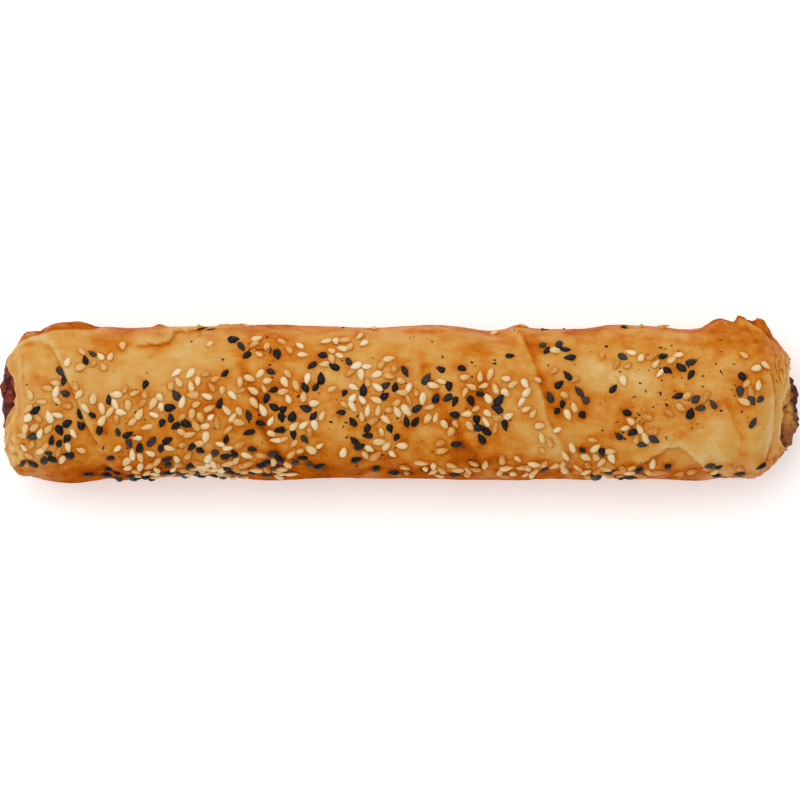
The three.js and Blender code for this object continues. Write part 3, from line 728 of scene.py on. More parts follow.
class Roll:
    """The pastry's skin. A station names a wrap line by its place on the crest."""

    def __init__(self, settings):
        self.half_width = settings.width / MM / 2
        self.half_rise = (settings.height / MM + PRESSED) / 2
        self.axis_height = settings.height / MM - self.half_rise
        self.lean = settings.lean / MM
        self.wrinkles = settings.wrinkles / MM

    def along_at(self, station, angle):
        """How far along the roll a wrap line lies where it passes an angle."""
        turn = np.radians(angle)
        upright = smooth(np.abs(station), at_end(station, "slant_ends"), at_end(station, "upright_from"))
        wander = WANDER["rise"] * np.sin(WANDER["times"] * turn + 2 * pi * station / WANDER["length"])
        return station + (1 - upright) * (wander - self.lean * np.cos(turn))

    def station_at(self, along, angle):
        """The wrap line that passes a place, near enough for setting things down."""
        return 2 * along - self.along_at(along, angle)

    def sheet_relief(self, station, angle, crisp):
        """Height of the wound sheets above the plain section."""
        along = self.along_at(station, angle)
        height = raised(SWELLINGS, along, angle)
        for wrap in WRAPS:
            height = height + wrap_relief(wrap, station, angle, wrap.blur if crisp else WRAP_BLUR)
        for length, times, rise in WAVES:
            height = height + rise * np.sin(2 * pi * along / length + times * np.radians(angle))
        return free_of_tray(angle) * height

    def section(self, station, angle, relief):
        """Points of the skin for a relief above the plain section."""
        girth = girth_at(station)
        turn = np.radians(angle)
        power = 2 / SQUARENESS
        across = np.sign(np.cos(turn)) * np.abs(np.cos(turn)) ** power
        upward = np.sign(np.sin(turn)) * np.abs(np.sin(turn)) ** power
        ragged = at_end(station, "side") * near_rim(station) * ragged_rim(station, angle)
        x = self.along_at(station, angle) + ragged
        y = girth * (self.half_width + relief) * across
        z = self.axis_height + girth * (self.half_rise + relief) * upward
        return np.stack([x, y, np.maximum(z, 0)], axis=-1)

    def plain(self, station, angle):
        """The skin as the solid has it."""
        return self.section(station, angle, self.sheet_relief(station, angle, crisp=False))

    def details(self, points, station, angle):
        """Small folds, torn edges, crumples and wrinkles, on the free part of the skin."""
        above = edge_relief(points) - BARE_LAYERS["rise"] * bare_layers(points)
        above += CRIMPS["rise"] * crimp_share(points) * cloud(points, "crimps")
        above += patches(points, DIMPLES, HEIGHT)
        loose = facing_up(angle, ABOVE) * above + layer_relief(station, angle)
        loose += CRUMPLE["rise"] * crumple_ridges(points, angle, CRUMPLE["level"])
        loose += sum(wrap_relief(wrap, station, angle, wrap.blur) for wrap in SIDE_WRAPS)
        loose += raised(DENTS, points[:, 0], angle) + CRUST["rise"] * crust_lumps(points, angle)
        wrinkles = cloud(points, "wrinkles") + FINE_WRINKLES * cloud(points, "fine wrinkles")
        return free_of_tray(angle) * (loose + self.wrinkles * wrinkles)

    def skin(self, station, angle):
        """The skin with all its relief."""
        sheets = self.sheet_relief(station, angle, crisp=True)
        points = self.section(station, angle, sheets)
        points = self.section(station, angle, sheets + self.details(points, station, angle))
        points[:, 0] -= at_end(station, "side") * rim_wear(station, angle)
        return points

    def places(self, along, angle):
        """Points on the skin, the outward normals and the directions along the roll."""
        station = self.station_at(along, angle)
        ahead = self.skin(station + PROBE_LENGTH, angle) - self.skin(station - PROBE_LENGTH, angle)
        around = self.skin(station, angle + PROBE_TURN) - self.skin(station, angle - PROBE_TURN)
        return self.skin(station, angle), unit(np.cross(around, ahead)), unit(ahead)

    def tunnel(self, along, angle, share=1.0):
        """Points of the tunnel's wall, or of a smaller tube inside it."""
        turn = np.radians(angle)
        y = TUNNEL_STRAYS * along / LENGTH + share * TUNNEL_WIDTH / 2 * np.cos(turn)
        z = self.axis_height + share * TUNNEL_HEIGHT / 2 * np.sin(turn)
        return np.stack([along + 0 * y, y, z], axis=-1)


def sprinkled_seeds(roll, start):
    """Every seed, drift by drift: whether it is dark, and its along, angle, heading and size."""
    draws = Draws(start)
    seeds, taken = [], []

    def sow(dark, spacing, along_middle, length, angle_middle, spread):
        for _ in range(TRIES):
            along = along_middle + DRIFT_EDGE * length * draws.middling()
            angle = angle_middle + DRIFT_EDGE * spread * draws.middling()
            if abs(along) > SEEDS_REACH or angle < SEEDS_FROM or angle > SEEDS_TO:
                continue
            place = np.array([along]), np.array([angle])
            point = roll.plain(roll.station_at(*place), place[1])[0]
            if taken and np.linalg.norm(np.array(taken) - point, axis=1).min() < spacing:
                continue
            taken.append(point)
            heading = 360 * draws.next()
            seeds.append((dark, along, angle, heading, 1 + SIZE_SPREAD * draws.middling()))
            return

    for drifts, spacing in ((DRIFTS, SEED_SPACING), (LATE_DRIFTS, LATE_SPACING)):
        for *drift, pales, darks in drifts:
            for dark in [0] * pales + [1] * darks:
                sow(dark, spacing, *drift)
    return np.array(seeds)


def sprinkled_specks(start):
    """Every tiny speck: its along, angle, heading and size."""
    draws = Draws(start + SPECK_START)
    specks = []
    for along_middle, length, angle_middle, spread, number in SPECK_DRIFTS:
        for _ in range(number):
            along = along_middle + DRIFT_EDGE * length * draws.middling()
            angle = angle_middle + DRIFT_EDGE * spread * draws.middling()
            size = max(SPECK_LEAST, 1 + SPECK_SPREAD * draws.middling())
            place = np.clip(along, -SPECKS_REACH, SPECKS_REACH), np.clip(angle, SPECKS_FROM, SPECKS_TO)
            specks.append((*place, 360 * draws.next(), size))
    return np.array(specks)


def halos_and_contact_shade(points, seed_points):
    """How near each point lies to a seed: 1 at its middle, 0 far away."""
    tree = kdtree.KDTree(len(seed_points))
    for index, point in enumerate(seed_points):
        tree.insert(point, index)
    tree.balance()
    distance = np.array([tree.find(point)[2] for point in points.tolist()])
    return bell(distance / SEED_HALO_AND_SHADE["reach"])


def bake_and_shade_at(points, station, angle):
    """How brown the pastry is baked: 0 is cream and 1 is dark brown. Painted shade and painted highlights
    are worked into the same numbers along the sheets' edges and layers, in seams and dimples, round the
    seeds and on the sides.
    """
    shown = PATCHES_BELOW + (1 - PATCHES_BELOW) * facing_up(angle, PATCHES_ABOVE)
    baked = BAKE_PLAIN + shown * patches(points, BAKED_PATCHES, BROWNER)
    from_crest = between(CREST, angle)
    # Browning of the sides, partly real and partly painted shade
    sides = FRONT_BROWNING_AND_SHADE * smooth(from_crest, *FRONT_RAMP) + BACK_BROWNING_AND_SHADE * smooth(-from_crest, *BACK_RAMP)
    baked += sides * (1 - SIDE_FADE * smooth(np.abs(from_crest), *SIDE_RAMP))
    baked += BAKED_UNDER * facing_up(-angle, UNDERSIDE)
    for wrap in WRAPS + SIDE_WRAPS:
        near = bell((station - wrap.along - WRAP_BROWN_AT) / WRAP_BROWN_REACH)
        baked += wrap.browns * wrap_shown(wrap, angle) * near
    rim = at_end(station, "rim")
    # Painted shade and highlights along the sheets' edges, and painted shade between the bare layers
    above = edge_light_shade_and_tone(points) + BARE_LAYERS["browner"] * bare_layers(points)
    # Browner in the dimples, partly as painted shade in the hollows
    above += patches(points, DIMPLES, BROWNER)
    above += RIM_LIP["browner"] * smooth(np.abs(station), rim - RIM_LIP["width"], rim)
    baked += facing_up(angle, ABOVE) * above
    baked += CRIMPS["browner"] * facing_up(angle, CRIMPS_ABOVE) * crimp_share(points)
    baked += CRUMPLE["browner"] * crumple_ridges(points, angle, CRUMPLE["brown_level"])
    baked += CRUST["browner"] * share_of(CRUST, points[:, 0], angle)
    # Painted shade in the seams between the crust's lumps, and lighter lump tops
    baked -= CRUST["seams"] * crust_lumps(points, angle)
    # Painted shade on each rim sheet just past its step down, paler towards its lip
    layers_shown, across_layer = layers_at(station, angle)
    baked += LAYER_SHADE * layers_shown * (LAYER_SHADE_FROM - across_layer)
    for name, share in BAKED_CLOUDS:
        baked += share * cloud(points / CLOUD_STRETCH, name)
    return np.where(baked > BAKE_HIGH, BAKE_HIGH + BAKE_SQUEEZE * (baked - BAKE_HIGH), baked)


def ring_faces(rings, sides, closed):
    """Four-cornered faces over rings of points, each ring joined to the next."""
    ring = np.arange(rings if closed else rings - 1)[:, None] * sides
    after = (ring + sides) % (rings * sides)
    corner = np.arange(sides)[None, :]
    beside = (corner + 1) % sides
    return np.stack([ring + corner, ring + beside, after + beside, after + corner], axis=-1).reshape(-1, 4)


def new_mesh(name, points, faces, material=None):
    """A smooth mesh from points in millimetres."""
    mesh = bpy.data.meshes.new(name)
    mesh.from_pydata((points * MM).tolist(), [], [list(face) for face in faces])
    mesh.shade_smooth()
    if material:
        mesh.materials.append(material)
    return mesh


def set_numbers(mesh, name, values, kind="FLOAT"):
    """Keeps a number or a vector for each point of a mesh."""
    layer = mesh.attributes.new(name, kind, "POINT")
    field = "vector" if kind == "FLOAT_VECTOR" else "value"
    layer.data.foreach_set(field, np.asarray(values, dtype=np.float32).ravel())


def keep_piece(name, mesh, stands_for=None):
    """Puts a finished mesh in the scene as a piece that rides on the part."""
    piece = bpy.data.objects.new(name, mesh)
    bpy.context.scene.collection.objects.link(piece)
    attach(piece, "root")
    if stands_for:
        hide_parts(stands_for)


def ring_stations():
    """Stations of the pastry's rings, closer at the ends and at the wrap lines."""
    first, last = LEFT["reach"] - LEFT["rim"], RIGHT["rim"] - RIGHT["reach"]
    left = -np.linspace(LEFT["rim"], -first, END_RINGS, endpoint=False)
    right = np.linspace(last, RIGHT["rim"], END_RINGS + 1)[1:]
    body = np.linspace(first, last, BODY_RINGS)
    lines = np.array([wrap.along for wrap in WRAPS])
    edges = np.add.outer(lines, EDGE_RINGS).ravel()
    body = body[np.abs(body[:, None] - lines).min(axis=1) > EDGE_RINGS[-1]]
    return np.concatenate([left, np.sort(np.concatenate([body, edges])), right])


def ring_angles():
    """Angles of the points of a ring, closer on top."""
    top = np.linspace(TOP_FROM, TOP_TO, TOP_SIDES, endpoint=False)
    under = np.linspace(TOP_TO, TOP_FROM + 360, UNDER_SIDES, endpoint=False)
    return np.concatenate([top, under])


def rim_rings(roll, end, rim_ring, angles):
    """Rings from a rim in to the mouth of the tunnel, ridged like the ragged ends of thin sheets, and how
    brown the rings are: pale on the sheets' ends, with shade painted brown in the gaps between them."""
    station = np.full(len(angles), end["side"] * end["rim"])
    out = ragged_rim(station, angles) - rim_wear(station, angles)
    mouth = roll.tunnel(station + end["side"] * out, angles)
    rougher = 1 - RIM_TOP_SMOOTHER * facing_up(angles, RIM_TOP)
    waves = RIM_WAVES * cloud(rim_ring, "rim waves")
    rings, bakes = [], []
    for step in range(1, RIM_RINGS + 1):
        share = step / (RIM_RINGS + 1)
        middle = np.sin(pi * share)
        ring = rim_ring + (mouth - rim_ring) * (share + middle * waves)[:, None]
        sheet_or_gap = 1 if step % 2 else -1
        shown = rougher * sheet_or_gap * smooth(cloud(ring, "rim sheets"), *RIM_SHEETS)
        rough = middle * cloud(ring, "rim grain")
        ring[:, 0] += end["side"] * (RIM_RIDGE * shown + RIM_ROUGH * rough)
        rings.append(ring)
        # Painted shade in the gaps between the sheets' ends, paler on the proud ends
        bakes.append(RIM_BAKE - RIM_GAP_SHADE * shown + RIM_MOTTLES * cloud(ring, "rim mottles"))
    return rings + [mouth], bakes + [np.full(len(angles), INSIDE_BAKE)]


def pastry_mesh(roll, seed_points, material):
    """The wound sheets: over the roll from rim to rim, and back through the tunnel."""
    stations, angles = ring_stations(), ring_angles()
    sides = len(angles)
    station, angle = np.repeat(stations, sides), np.tile(angles, len(stations))
    skin = roll.skin(station, angle)
    baked = bake_and_shade_at(skin, station, angle)
    # A browner ring round each seed: partly glaze pooled round it, partly painted contact shade
    baked += SEED_HALO_AND_SHADE["browner"] * halos_and_contact_shade(skin, seed_points)
    right, right_bakes = rim_rings(roll, RIGHT, skin[-sides:], angles)
    left, left_bakes = rim_rings(roll, LEFT, skin[:sides], angles)
    span = left[-1] - right[-1]
    inner = [right[-1] + span * step / (TUNNEL_RINGS + 1) for step in range(1, TUNNEL_RINGS + 1)]
    rings = len(stations) + len(right) + len(inner) + len(left)
    points = np.concatenate([skin] + right + inner + left[::-1])
    mesh = new_mesh("pastry", points, ring_faces(rings, sides, closed=True), material)
    inner_bakes = [np.full(sides, INSIDE_BAKE)] * TUNNEL_RINGS
    set_numbers(mesh, "bake_and_shade", np.concatenate([baked] + right_bakes + inner_bakes + left_bakes[::-1]))
    return mesh


def sliver_mesh(roll, material):
    """Thin pointed slivers of a sheet that stand out from the back of the roll."""
    draws = Draws(SLIVER_START)
    points, faces, baked = [], [], []
    out, side = np.meshgrid(np.linspace(0, 1, SLIVER_ROWS), np.linspace(0, 1, SLIVER_COLUMNS), indexing="ij")
    out, side = out.ravel(), side.ravel()
    grid = np.arange(out.size).reshape(SLIVER_ROWS, SLIVER_COLUMNS)
    quads = np.stack([grid[:-1, :-1], grid[1:, :-1], grid[1:, 1:], grid[:-1, 1:]], axis=-1).reshape(-1, 4)
    loop = np.concatenate([grid[:, 0], grid[-1, 1:], grid[-2::-1, -1], grid[0, -2:0:-1]])
    walls = np.stack([loop, loop + grid.size, np.roll(loop, -1) + grid.size, np.roll(loop, -1)], axis=-1)
    for along, angle, length, width, lift, turn in SLIVERS:
        start = SLIVER_SHIFTS * draws.next()
        root = roll.skin(roll.station_at(np.array([along]), np.array([angle])), np.array([angle]))[0]
        nicks = sum(depth * np.sin(times * out + shift * start) for times, shift, depth in SLIVER_NICKS)
        wide = width * (1 - out) ** SLIVER_TAPER * (1 + nicks) * np.sqrt(smooth(out, *SLIVER_ROUNDED))
        ahead, beside = (out - SLIVER_ROOT[0]) * length, (side - SLIVER_ROOT[1]) * wide
        heading = np.radians(turn)
        x = root[0] + ahead * np.cos(heading) - beside * np.sin(heading)
        y = root[1] + ahead * np.sin(heading) + beside * np.cos(heading)
        ripple = SLIVER_RIPPLE["rise"] * np.sin(SLIVER_RIPPLE["times"] * out + start)
        z = root[2] + SLIVER_RISE + lift * out**SLIVER_CURL - SLIVER_TILT * beside + ripple
        top = np.stack([x, y, z + SLIVER_THICKNESS / 2], axis=-1)
        base = sum(map(len, points))
        points += [top, top - (0, 0, SLIVER_THICKNESS)]
        faces += [base + quads, base + grid.size + quads[:, ::-1], base + walls]
        baked += [SLIVER_BAKE[0] + SLIVER_BAKE[1] * out] * 2
    mesh = new_mesh("slivers", np.concatenate(points), np.concatenate(faces), material)
    set_numbers(mesh, "bake_and_shade", np.concatenate(baked))
    return mesh


def tip_ring(roll, end, out, angles):
    """A ring of the filling's tip, some share of the way out, and how high on its lumps the points lie."""
    start = end["rim"] - end["reach"]
    forward, narrow = np.sin(pi / 2 * out), np.cos(pi / 2 * out)
    along = np.full(len(angles), end["side"] * (start + (LENGTH / 2 - start) * forward))
    phase = TIP_LOBES["count"] * np.radians(angles) + TIP_LOBES["twist"] * out + end["phase"]
    lobes = 1 - TIP_LOBES["rise"] * out * (1 - np.sin(phase))
    girth = (1 - 2 * GAP / TUNNEL_HEIGHT) * narrow**TIP_BLUNTNESS
    ring = roll.tunnel(along, angles, girth * lobes)
    outward = unit(ring - roll.tunnel(along, angles, 0.0))
    facing = np.array([end["side"] * forward, 0, 0]) + narrow * outward
    packed = packed_lumps(ring, FILLING_LUMPS["size"])
    lumps = FILLING_LUMPS["rise"] * (packed - 1) + FILLING_LUMPS["crumbs"] * cloud(ring, "filling crumbs")
    bare_from, bare_to = end["rim"] - FILLING_LUMPS["from"], end["rim"] - FILLING_LUMPS["full"]
    lumps *= smooth(np.abs(along), bare_from, bare_to)
    swell = MOUTH["swell"] * bell((np.abs(along) - end["rim"]) / MOUTH["reach"])
    swell *= 1 + MOUTH["below"] * facing_up(-angles, MOUTH["low"])
    ring = ring + swell[:, None] * outward + facing * lumps[:, None]
    ring[:, 0] = np.clip(ring[:, 0], -LENGTH / 2, LENGTH / 2)
    return ring, packed


def filling_mesh(roll, material):
    """The filling: right through the roll, lumpy where it swells out of both ends."""
    angles = np.arange(FILLING_SIDES) * 360 / FILLING_SIDES
    rings = []
    for end in (LEFT, RIGHT):
        tip = [tip_ring(roll, end, (step + 0.5) / TIP_RINGS, angles) for step in range(TIP_RINGS)]
        last = tip[-1][0]
        middle = last.mean(axis=0)
        caps = [middle + shrink * (last - middle) for shrink in TIP_CAPS]
        tip += [(cap, packed_lumps(cap, FILLING_LUMPS["size"])) for cap in caps]
        rings += tip[::end["side"]]
    faces = ring_faces(len(rings), FILLING_SIDES, closed=False).tolist()
    last_ring = (len(rings) - 1) * FILLING_SIDES
    faces.append(list(range(FILLING_SIDES))[::-1])
    faces.append([last_ring + corner for corner in range(FILLING_SIDES)])
    mesh = new_mesh("filling", np.concatenate([ring for ring, _ in rings]), faces, material)
    set_numbers(mesh, "lump", np.concatenate([packed for _, packed in rings]))
    return mesh


def grain_points(name, grain, roll, along, angle, heading, size):
    """Points on the skin that carry each grain's turn, size and tint."""
    place, normal, ahead = roll.places(along, angle)
    draws = Draws(grain.start)
    turns, sizes = [], []
    for out, forward, degrees, own_size in zip(normal, ahead, heading, size):
        z, x = Vector(out), Vector(forward)
        frame_turn = Matrix((x, z.cross(x), z)).transposed()
        lean = [np.radians(GRAIN_TILT * draws.middling()) for _ in range(2)]
        own_turn = Euler((*lean, np.radians(degrees))).to_matrix()
        turns.append((frame_turn @ own_turn).to_euler())
        sizes.append([own_size * (1 + grain.variety * draws.middling()) for _ in range(3)])
    mesh = new_mesh(name, place + normal * (grain.proud * size)[:, None], [])
    set_numbers(mesh, "turn", turns, "FLOAT_VECTOR")
    set_numbers(mesh, "size", sizes, "FLOAT_VECTOR")
    tint = np.array([draws.next() for _ in size])
    for toasted, value in ((TOASTED_FRONT, angle), (TOASTED_RIGHT, along)):
        tint += toasted["deeper"] * smooth(value, toasted["from"], toasted["to"])
    set_numbers(mesh, "tint", tint)
    return mesh


def set_inputs(tree, node, inputs):
    """Sets a node's inputs to values, or links them to other nodes' outputs."""
    for name, value in inputs.items():
        if isinstance(value, bpy.types.NodeSocket):
            tree.links.new(value, node.inputs[name])
        else:
            node.inputs[name].default_value = value


def add_node(tree, kind, inputs=None, **settings):
    """A new node with its settings and inputs."""
    node = tree.nodes.new(kind)
    for name, value in settings.items():
        setattr(node, name, value)
    set_inputs(tree, node, inputs or {})
    return node


def worked(tree, operation, first, second):
    """The result of one sum."""
    return add_node(tree, "ShaderNodeMath", {0: first, 1: second}, operation=operation).outputs[0]


def grain_tree():
    """Geometry nodes that set one flattened teardrop on each point, each a little different."""
    tree = bpy.data.node_groups.new(GRAIN_TREE, "GeometryNodeTree")
    tree.interface.new_socket("Geometry", in_out="OUTPUT", socket_type="NodeSocketGeometry")
    sockets = {
        "Geometry": ("Geometry",),
        "Float": ("Length", "Width", "Thickness", "Taper", "Point", "Lumps", "Lump size"),
        "Int": ("Corners", "Rings"),
        "Material": ("Material",),
    }
    for kind, names in sockets.items():
        for name in names:
            tree.interface.new_socket(name, in_out="INPUT", socket_type="NodeSocket" + kind)
    given = add_node(tree, "NodeGroupInput").outputs

    def made(kind, inputs=None, **settings):
        return add_node(tree, kind, inputs, **settings).outputs[0]

    def sized(part, size, factor=1.0):
        half = worked(tree, "MULTIPLY", worked(tree, "MULTIPLY", part, given[size]), 0.5)
        return worked(tree, "MULTIPLY", half, factor)

    place = made("GeometryNodeInputPosition")
    x, y, z = add_node(tree, "ShaderNodeSeparateXYZ", {0: place}).outputs
    grain = made("GeometryNodeMeshUVSphere", {
        "Segments": given["Corners"], "Rings": given["Rings"], "Radius": 1.0,
    })
    grain = made("GeometryNodeTransform", {"Geometry": grain, "Rotation": (0, pi / 2, 0)})
    for name, value in (("tip", x), ("top", z)):
        grain = made("GeometryNodeStoreNamedAttribute", {
            "Geometry": grain, "Name": name, "Value": value,
        }, data_type="FLOAT", domain="POINT")
    from_blunt_end = worked(tree, "MULTIPLY", worked(tree, "ADD", x, 1.0), 0.5)
    sharpened = worked(tree, "POWER", from_blunt_end, POINT_POWER)
    pointed = worked(tree, "MULTIPLY", sharpened, given["Point"])
    tapered = worked(tree, "SUBTRACT", 1.0, worked(tree, "MULTIPLY", given["Taper"], x))
    slim = worked(tree, "SUBTRACT", tapered, pointed)
    teardrop = made("ShaderNodeCombineXYZ", {
        "X": sized(x, "Length"), "Y": sized(y, "Width", slim), "Z": sized(z, "Thickness", slim),
    })
    grain = made("GeometryNodeSetPosition", {"Geometry": grain, "Position": teardrop})
    turn, size = (
        made("GeometryNodeInputNamedAttribute", {"Name": name}, data_type="FLOAT_VECTOR")
        for name in ("turn", "size")
    )
    strewn = made("GeometryNodeInstanceOnPoints", {
        "Points": given["Geometry"], "Instance": grain, "Rotation": turn, "Scale": size,
    })
    strewn = made("GeometryNodeRealizeInstances", {"Geometry": strewn})
    bumps = add_node(tree, "ShaderNodeTexNoise", {
        "Vector": place, "Scale": worked(tree, "DIVIDE", 1.0, given["Lump size"]), "Detail": 1.0,
    }).outputs["Color"]
    centred = made("ShaderNodeVectorMath", {0: bumps, 1: (0.5, 0.5, 0.5)}, operation="SUBTRACT")
    pushed = made("ShaderNodeVectorMath", {0: centred, "Scale": given["Lumps"]}, operation="SCALE")
    strewn = made("GeometryNodeSetPosition", {"Geometry": strewn, "Offset": pushed})
    strewn = made("GeometryNodeSetShadeSmooth", {"Geometry": strewn})
    strewn = made("GeometryNodeSetMaterial", {"Geometry": strewn, "Material": given["Material"]})
    add_node(tree, "NodeGroupOutput", {"Geometry": strewn})
    return tree


def strew(name, roll, scatter, material):
    """Grains of one kind at scattered places, kept as one piece with a plain mesh."""
    grain = GRAINS[name]
    tree = bpy.data.node_groups.get(GRAIN_TREE) or grain_tree()
    values = {
        "Length": grain.length * MM, "Width": grain.width * MM, "Thickness": grain.thickness * MM,
        "Taper": grain.taper, "Point": grain.point, "Lumps": grain.lumps * MM,
        "Lump size": grain.lump_size * MM, "Corners": grain.corners, "Rings": grain.rings,
        "Material": material,
    }
    strewing = bpy.data.objects.new(name + "_points", grain_points(name, grain, roll, *scatter.T))
    bpy.context.scene.collection.objects.link(strewing)
    modifier = strewing.modifiers.new(GRAIN_TREE, "NODES")
    modifier.node_group = tree
    for item in tree.interface.items_tree:
        if item.in_out == "INPUT" and item.name in values:
            modifier[item.identifier] = values[item.name]
    ready = bpy.context.evaluated_depsgraph_get()
    mesh = bpy.data.meshes.new_from_object(
        strewing.evaluated_get(ready), preserve_all_data_layers=True, depsgraph=ready
    )
    mesh.name = name
    bpy.data.objects.remove(strewing)
    if not mesh.polygons:
        raise RuntimeError(f"no {name} were strewn")
    keep_piece(name, mesh)


def new_material(name):
    """A material, its node tree and its shader."""
    material = bpy.data.materials.new(name)
    material.use_nodes = True
    tree = material.node_tree
    tree.nodes.clear()
    shader = add_node(tree, "ShaderNodeBsdfPrincipled")
    add_node(tree, "ShaderNodeOutputMaterial", {"Surface": shader.outputs[0]})
    return material, tree, shader


def kept_number(tree, name):
    """A number that the mesh keeps for each point."""
    return add_node(tree, "ShaderNodeAttribute", attribute_name=name).outputs["Fac"]


def object_noise(tree, size, detail=3.0):
    """Noise on Object coordinates, with lumps of about this many millimetres."""
    coordinates = add_node(tree, "ShaderNodeTexCoord").outputs["Object"]
    return add_node(tree, "ShaderNodeTexNoise", {
        "Vector": coordinates, "Scale": 1 / (size * MM), "Detail": detail,
    }).outputs["Fac"]


def spread_over(tree, value, low, high, start=0.25, end=0.75):
    """A value drawn out from one range to another."""
    return add_node(tree, "ShaderNodeMapRange", {
        "Value": value, "From Min": start, "From Max": end, "To Min": low, "To Max": high,
    }).outputs[0]


def mottles(tree, size, reach, detail=3.0):
    """Noise to both sides of 0."""
    return spread_over(tree, object_noise(tree, size, detail), -reach, reach)


def colour_ramp(tree, value, *stops):
    """A colour that goes from stop to stop as a value rises."""
    made = add_node(tree, "ShaderNodeValToRGB", {"Fac": value})
    elements = made.color_ramp.elements
    while len(elements) < len(stops):
        elements.new(0.5)
    for element, (position, colour) in zip(elements, stops):
        element.position = position
        element.color = (*colour, 1.0)
    return made.outputs["Color"]


def added(tree, first, *others):
    """The sum of several values."""
    total = first
    for other in others:
        total = worked(tree, "ADD", total, other)
    return total


def bump(tree, height, distance):
    """A normal for relief of about this many millimetres."""
    return add_node(tree, "ShaderNodeBump", {
        "Height": height, "Distance": distance * MM, "Strength": 1.0,
    }).outputs[0]


def pastry_material(settings):
    """Thin glazed pastry, cream to dark brown as it is baked and where shade is painted into it."""
    material, tree, shader = new_material("Baked pastry")
    bake_and_shade = kept_number(tree, "bake_and_shade")
    blotches = mottles(tree, size=3.4, reach=0.11, detail=5.0)
    freckles = mottles(tree, size=0.8, reach=0.08)
    glaze = object_noise(tree, size=2.0)
    set_inputs(tree, shader, {
        "Base Color": colour_ramp(
            tree, added(tree, bake_and_shade, blotches, freckles),
            (0.0, settings.cream), (0.2, settings.straw), (0.4, settings.gold),
            (0.6, settings.amber), (0.8, settings.brown), (1.0, settings.dark_brown),
        ),
        "Roughness": spread_over(tree, glaze, settings.gloss_roughness, settings.dull_roughness),
        "Specular IOR Level": spread_over(tree, bake_and_shade, low=0.16, high=0.0, start=0.4, end=0.8),
        "Subsurface Weight": 0.06,
        "Subsurface Radius": (1.0, 0.45, 0.16),
        "Subsurface Scale": 1.0 * MM,
        "Normal": bump(tree, object_noise(tree, size=0.8, detail=4.0), distance=0.12),
    })
    return material


def pale_seed_material(settings):
    """Ivory seeds, toasted at the tip, and darker low on their sides: partly where they lie in the glaze and
    partly painted shade.
    """
    material, tree, shader = new_material("Pale seed")
    mottled = mottles(tree, size=0.7, reach=0.14)
    tip = spread_over(tree, kept_number(tree, "tip"), low=-0.05, high=0.2, start=-1.0, end=1.0)
    # Darker towards the seed's lower side: partly glaze soaked in, partly painted shade
    soak_and_shade = spread_over(tree, kept_number(tree, "top"), low=0.7, high=-0.1, start=0.0, end=0.75)
    set_inputs(tree, shader, {
        "Base Color": colour_ramp(
            tree, added(tree, kept_number(tree, "tint"), mottled, tip, soak_and_shade),
            (0.05, settings.ivory), (0.5, settings.pale), (0.9, settings.toasted), (1.0, settings.roast),
        ),
        "Roughness": 0.42,
        "Specular IOR Level": 0.35,
        "Subsurface Weight": 0.08,
        "Subsurface Scale": 0.6 * MM,
        "Normal": bump(tree, object_noise(tree, size=0.35), distance=0.05),
    })
    return material


def dark_seed_material(settings):
    """Wrinkled black seeds, some with a worn husk."""
    material, tree, shader = new_material("Dark seed")
    mottled = mottles(tree, size=0.5, reach=0.2)
    set_inputs(tree, shader, {
        "Base Color": colour_ramp(
            tree, added(tree, kept_number(tree, "tint"), mottled),
            (0.1, settings.black), (0.7, settings.soot), (1.0, settings.husk),
        ),
        "Roughness": 0.34,
        "Specular IOR Level": 0.2,
        "Normal": bump(tree, object_noise(tree, size=0.6), distance=0.34),
    })
    return material


def filling_material(settings):
    """Moist and dark red at the left end. At the right golden, rusty to the front and charred at the tip."""
    material, tree, shader = new_material("Savoury filling")
    coordinates = add_node(tree, "ShaderNodeTexCoord").outputs["Object"]
    x, y, _ = add_node(tree, "ShaderNodeSeparateXYZ", {0: coordinates}).outputs
    crumbs = spread_over(tree, object_noise(tree, size=0.7, detail=5.0), low=0.34, high=0.7)
    # Shade painted into the seams between the lumps, darker the deeper the seam
    seams = spread_over(tree, kept_number(tree, "lump"), low=-0.18, high=0.06, start=0.25, end=0.6)
    lumps = added(tree, crumbs, seams)
    strays = mottles(tree, size=2.6, reach=1.0 * MM)

    def by_lumps(*stops):
        return colour_ramp(tree, lumps, *stops)

    def share_past(place, start, end):
        return spread_over(tree, place, 0.0, 1.0, start * MM, end * MM)

    def mixed(share, below, above):
        return add_node(tree, "ShaderNodeMix", {0: share, 6: below, 7: above}, data_type="RGBA").outputs[2]

    moist = by_lumps((0.34, settings.deep_red), (0.52, settings.red_brown), (0.74, settings.pink))
    golden = by_lumps((0.28, settings.rust), (0.46, settings.golden), (0.7, settings.straw))
    rusty = by_lumps((0.25, settings.charred), (0.42, settings.rust), (0.75, settings.golden))
    dark = by_lumps((0.45, settings.charred), (0.85, settings.rust))
    back = share_past(added(tree, y, strays), start=-7.0, end=-4.0)
    leaning = worked(tree, "MULTIPLY", y, 0.22)
    outward = share_past(added(tree, x, leaning, strays), start=102.0, end=103.3)
    right = share_past(x, start=-1.0, end=1.0)
    baked = mixed(outward, mixed(back, rusty, golden), dark)
    set_inputs(tree, shader, {
        "Base Color": mixed(right, moist, baked),
        "Roughness": spread_over(tree, lumps, low=0.45, high=0.75),
        "Specular IOR Level": 0.1,
        "Normal": bump(tree, object_noise(tree, size=0.8, detail=4.0), distance=0.4),
    })
    return material


def length_property(name, description, millimetres):
    """A length, shown in the scene's units."""
    return bpy.props.FloatProperty(
        name=name, description=description, default=millimetres * MM, min=0.0, precision=4,
        unit="LENGTH", subtype="DISTANCE",
    )


def colour_property(name, description, *colour):
    """A colour, given as 0 to 255 numbers."""
    return bpy.props.FloatVectorProperty(
        name=name, description=description, default=srgb(*colour), size=3, min=0.0, max=1.0, subtype="COLOR",
    )


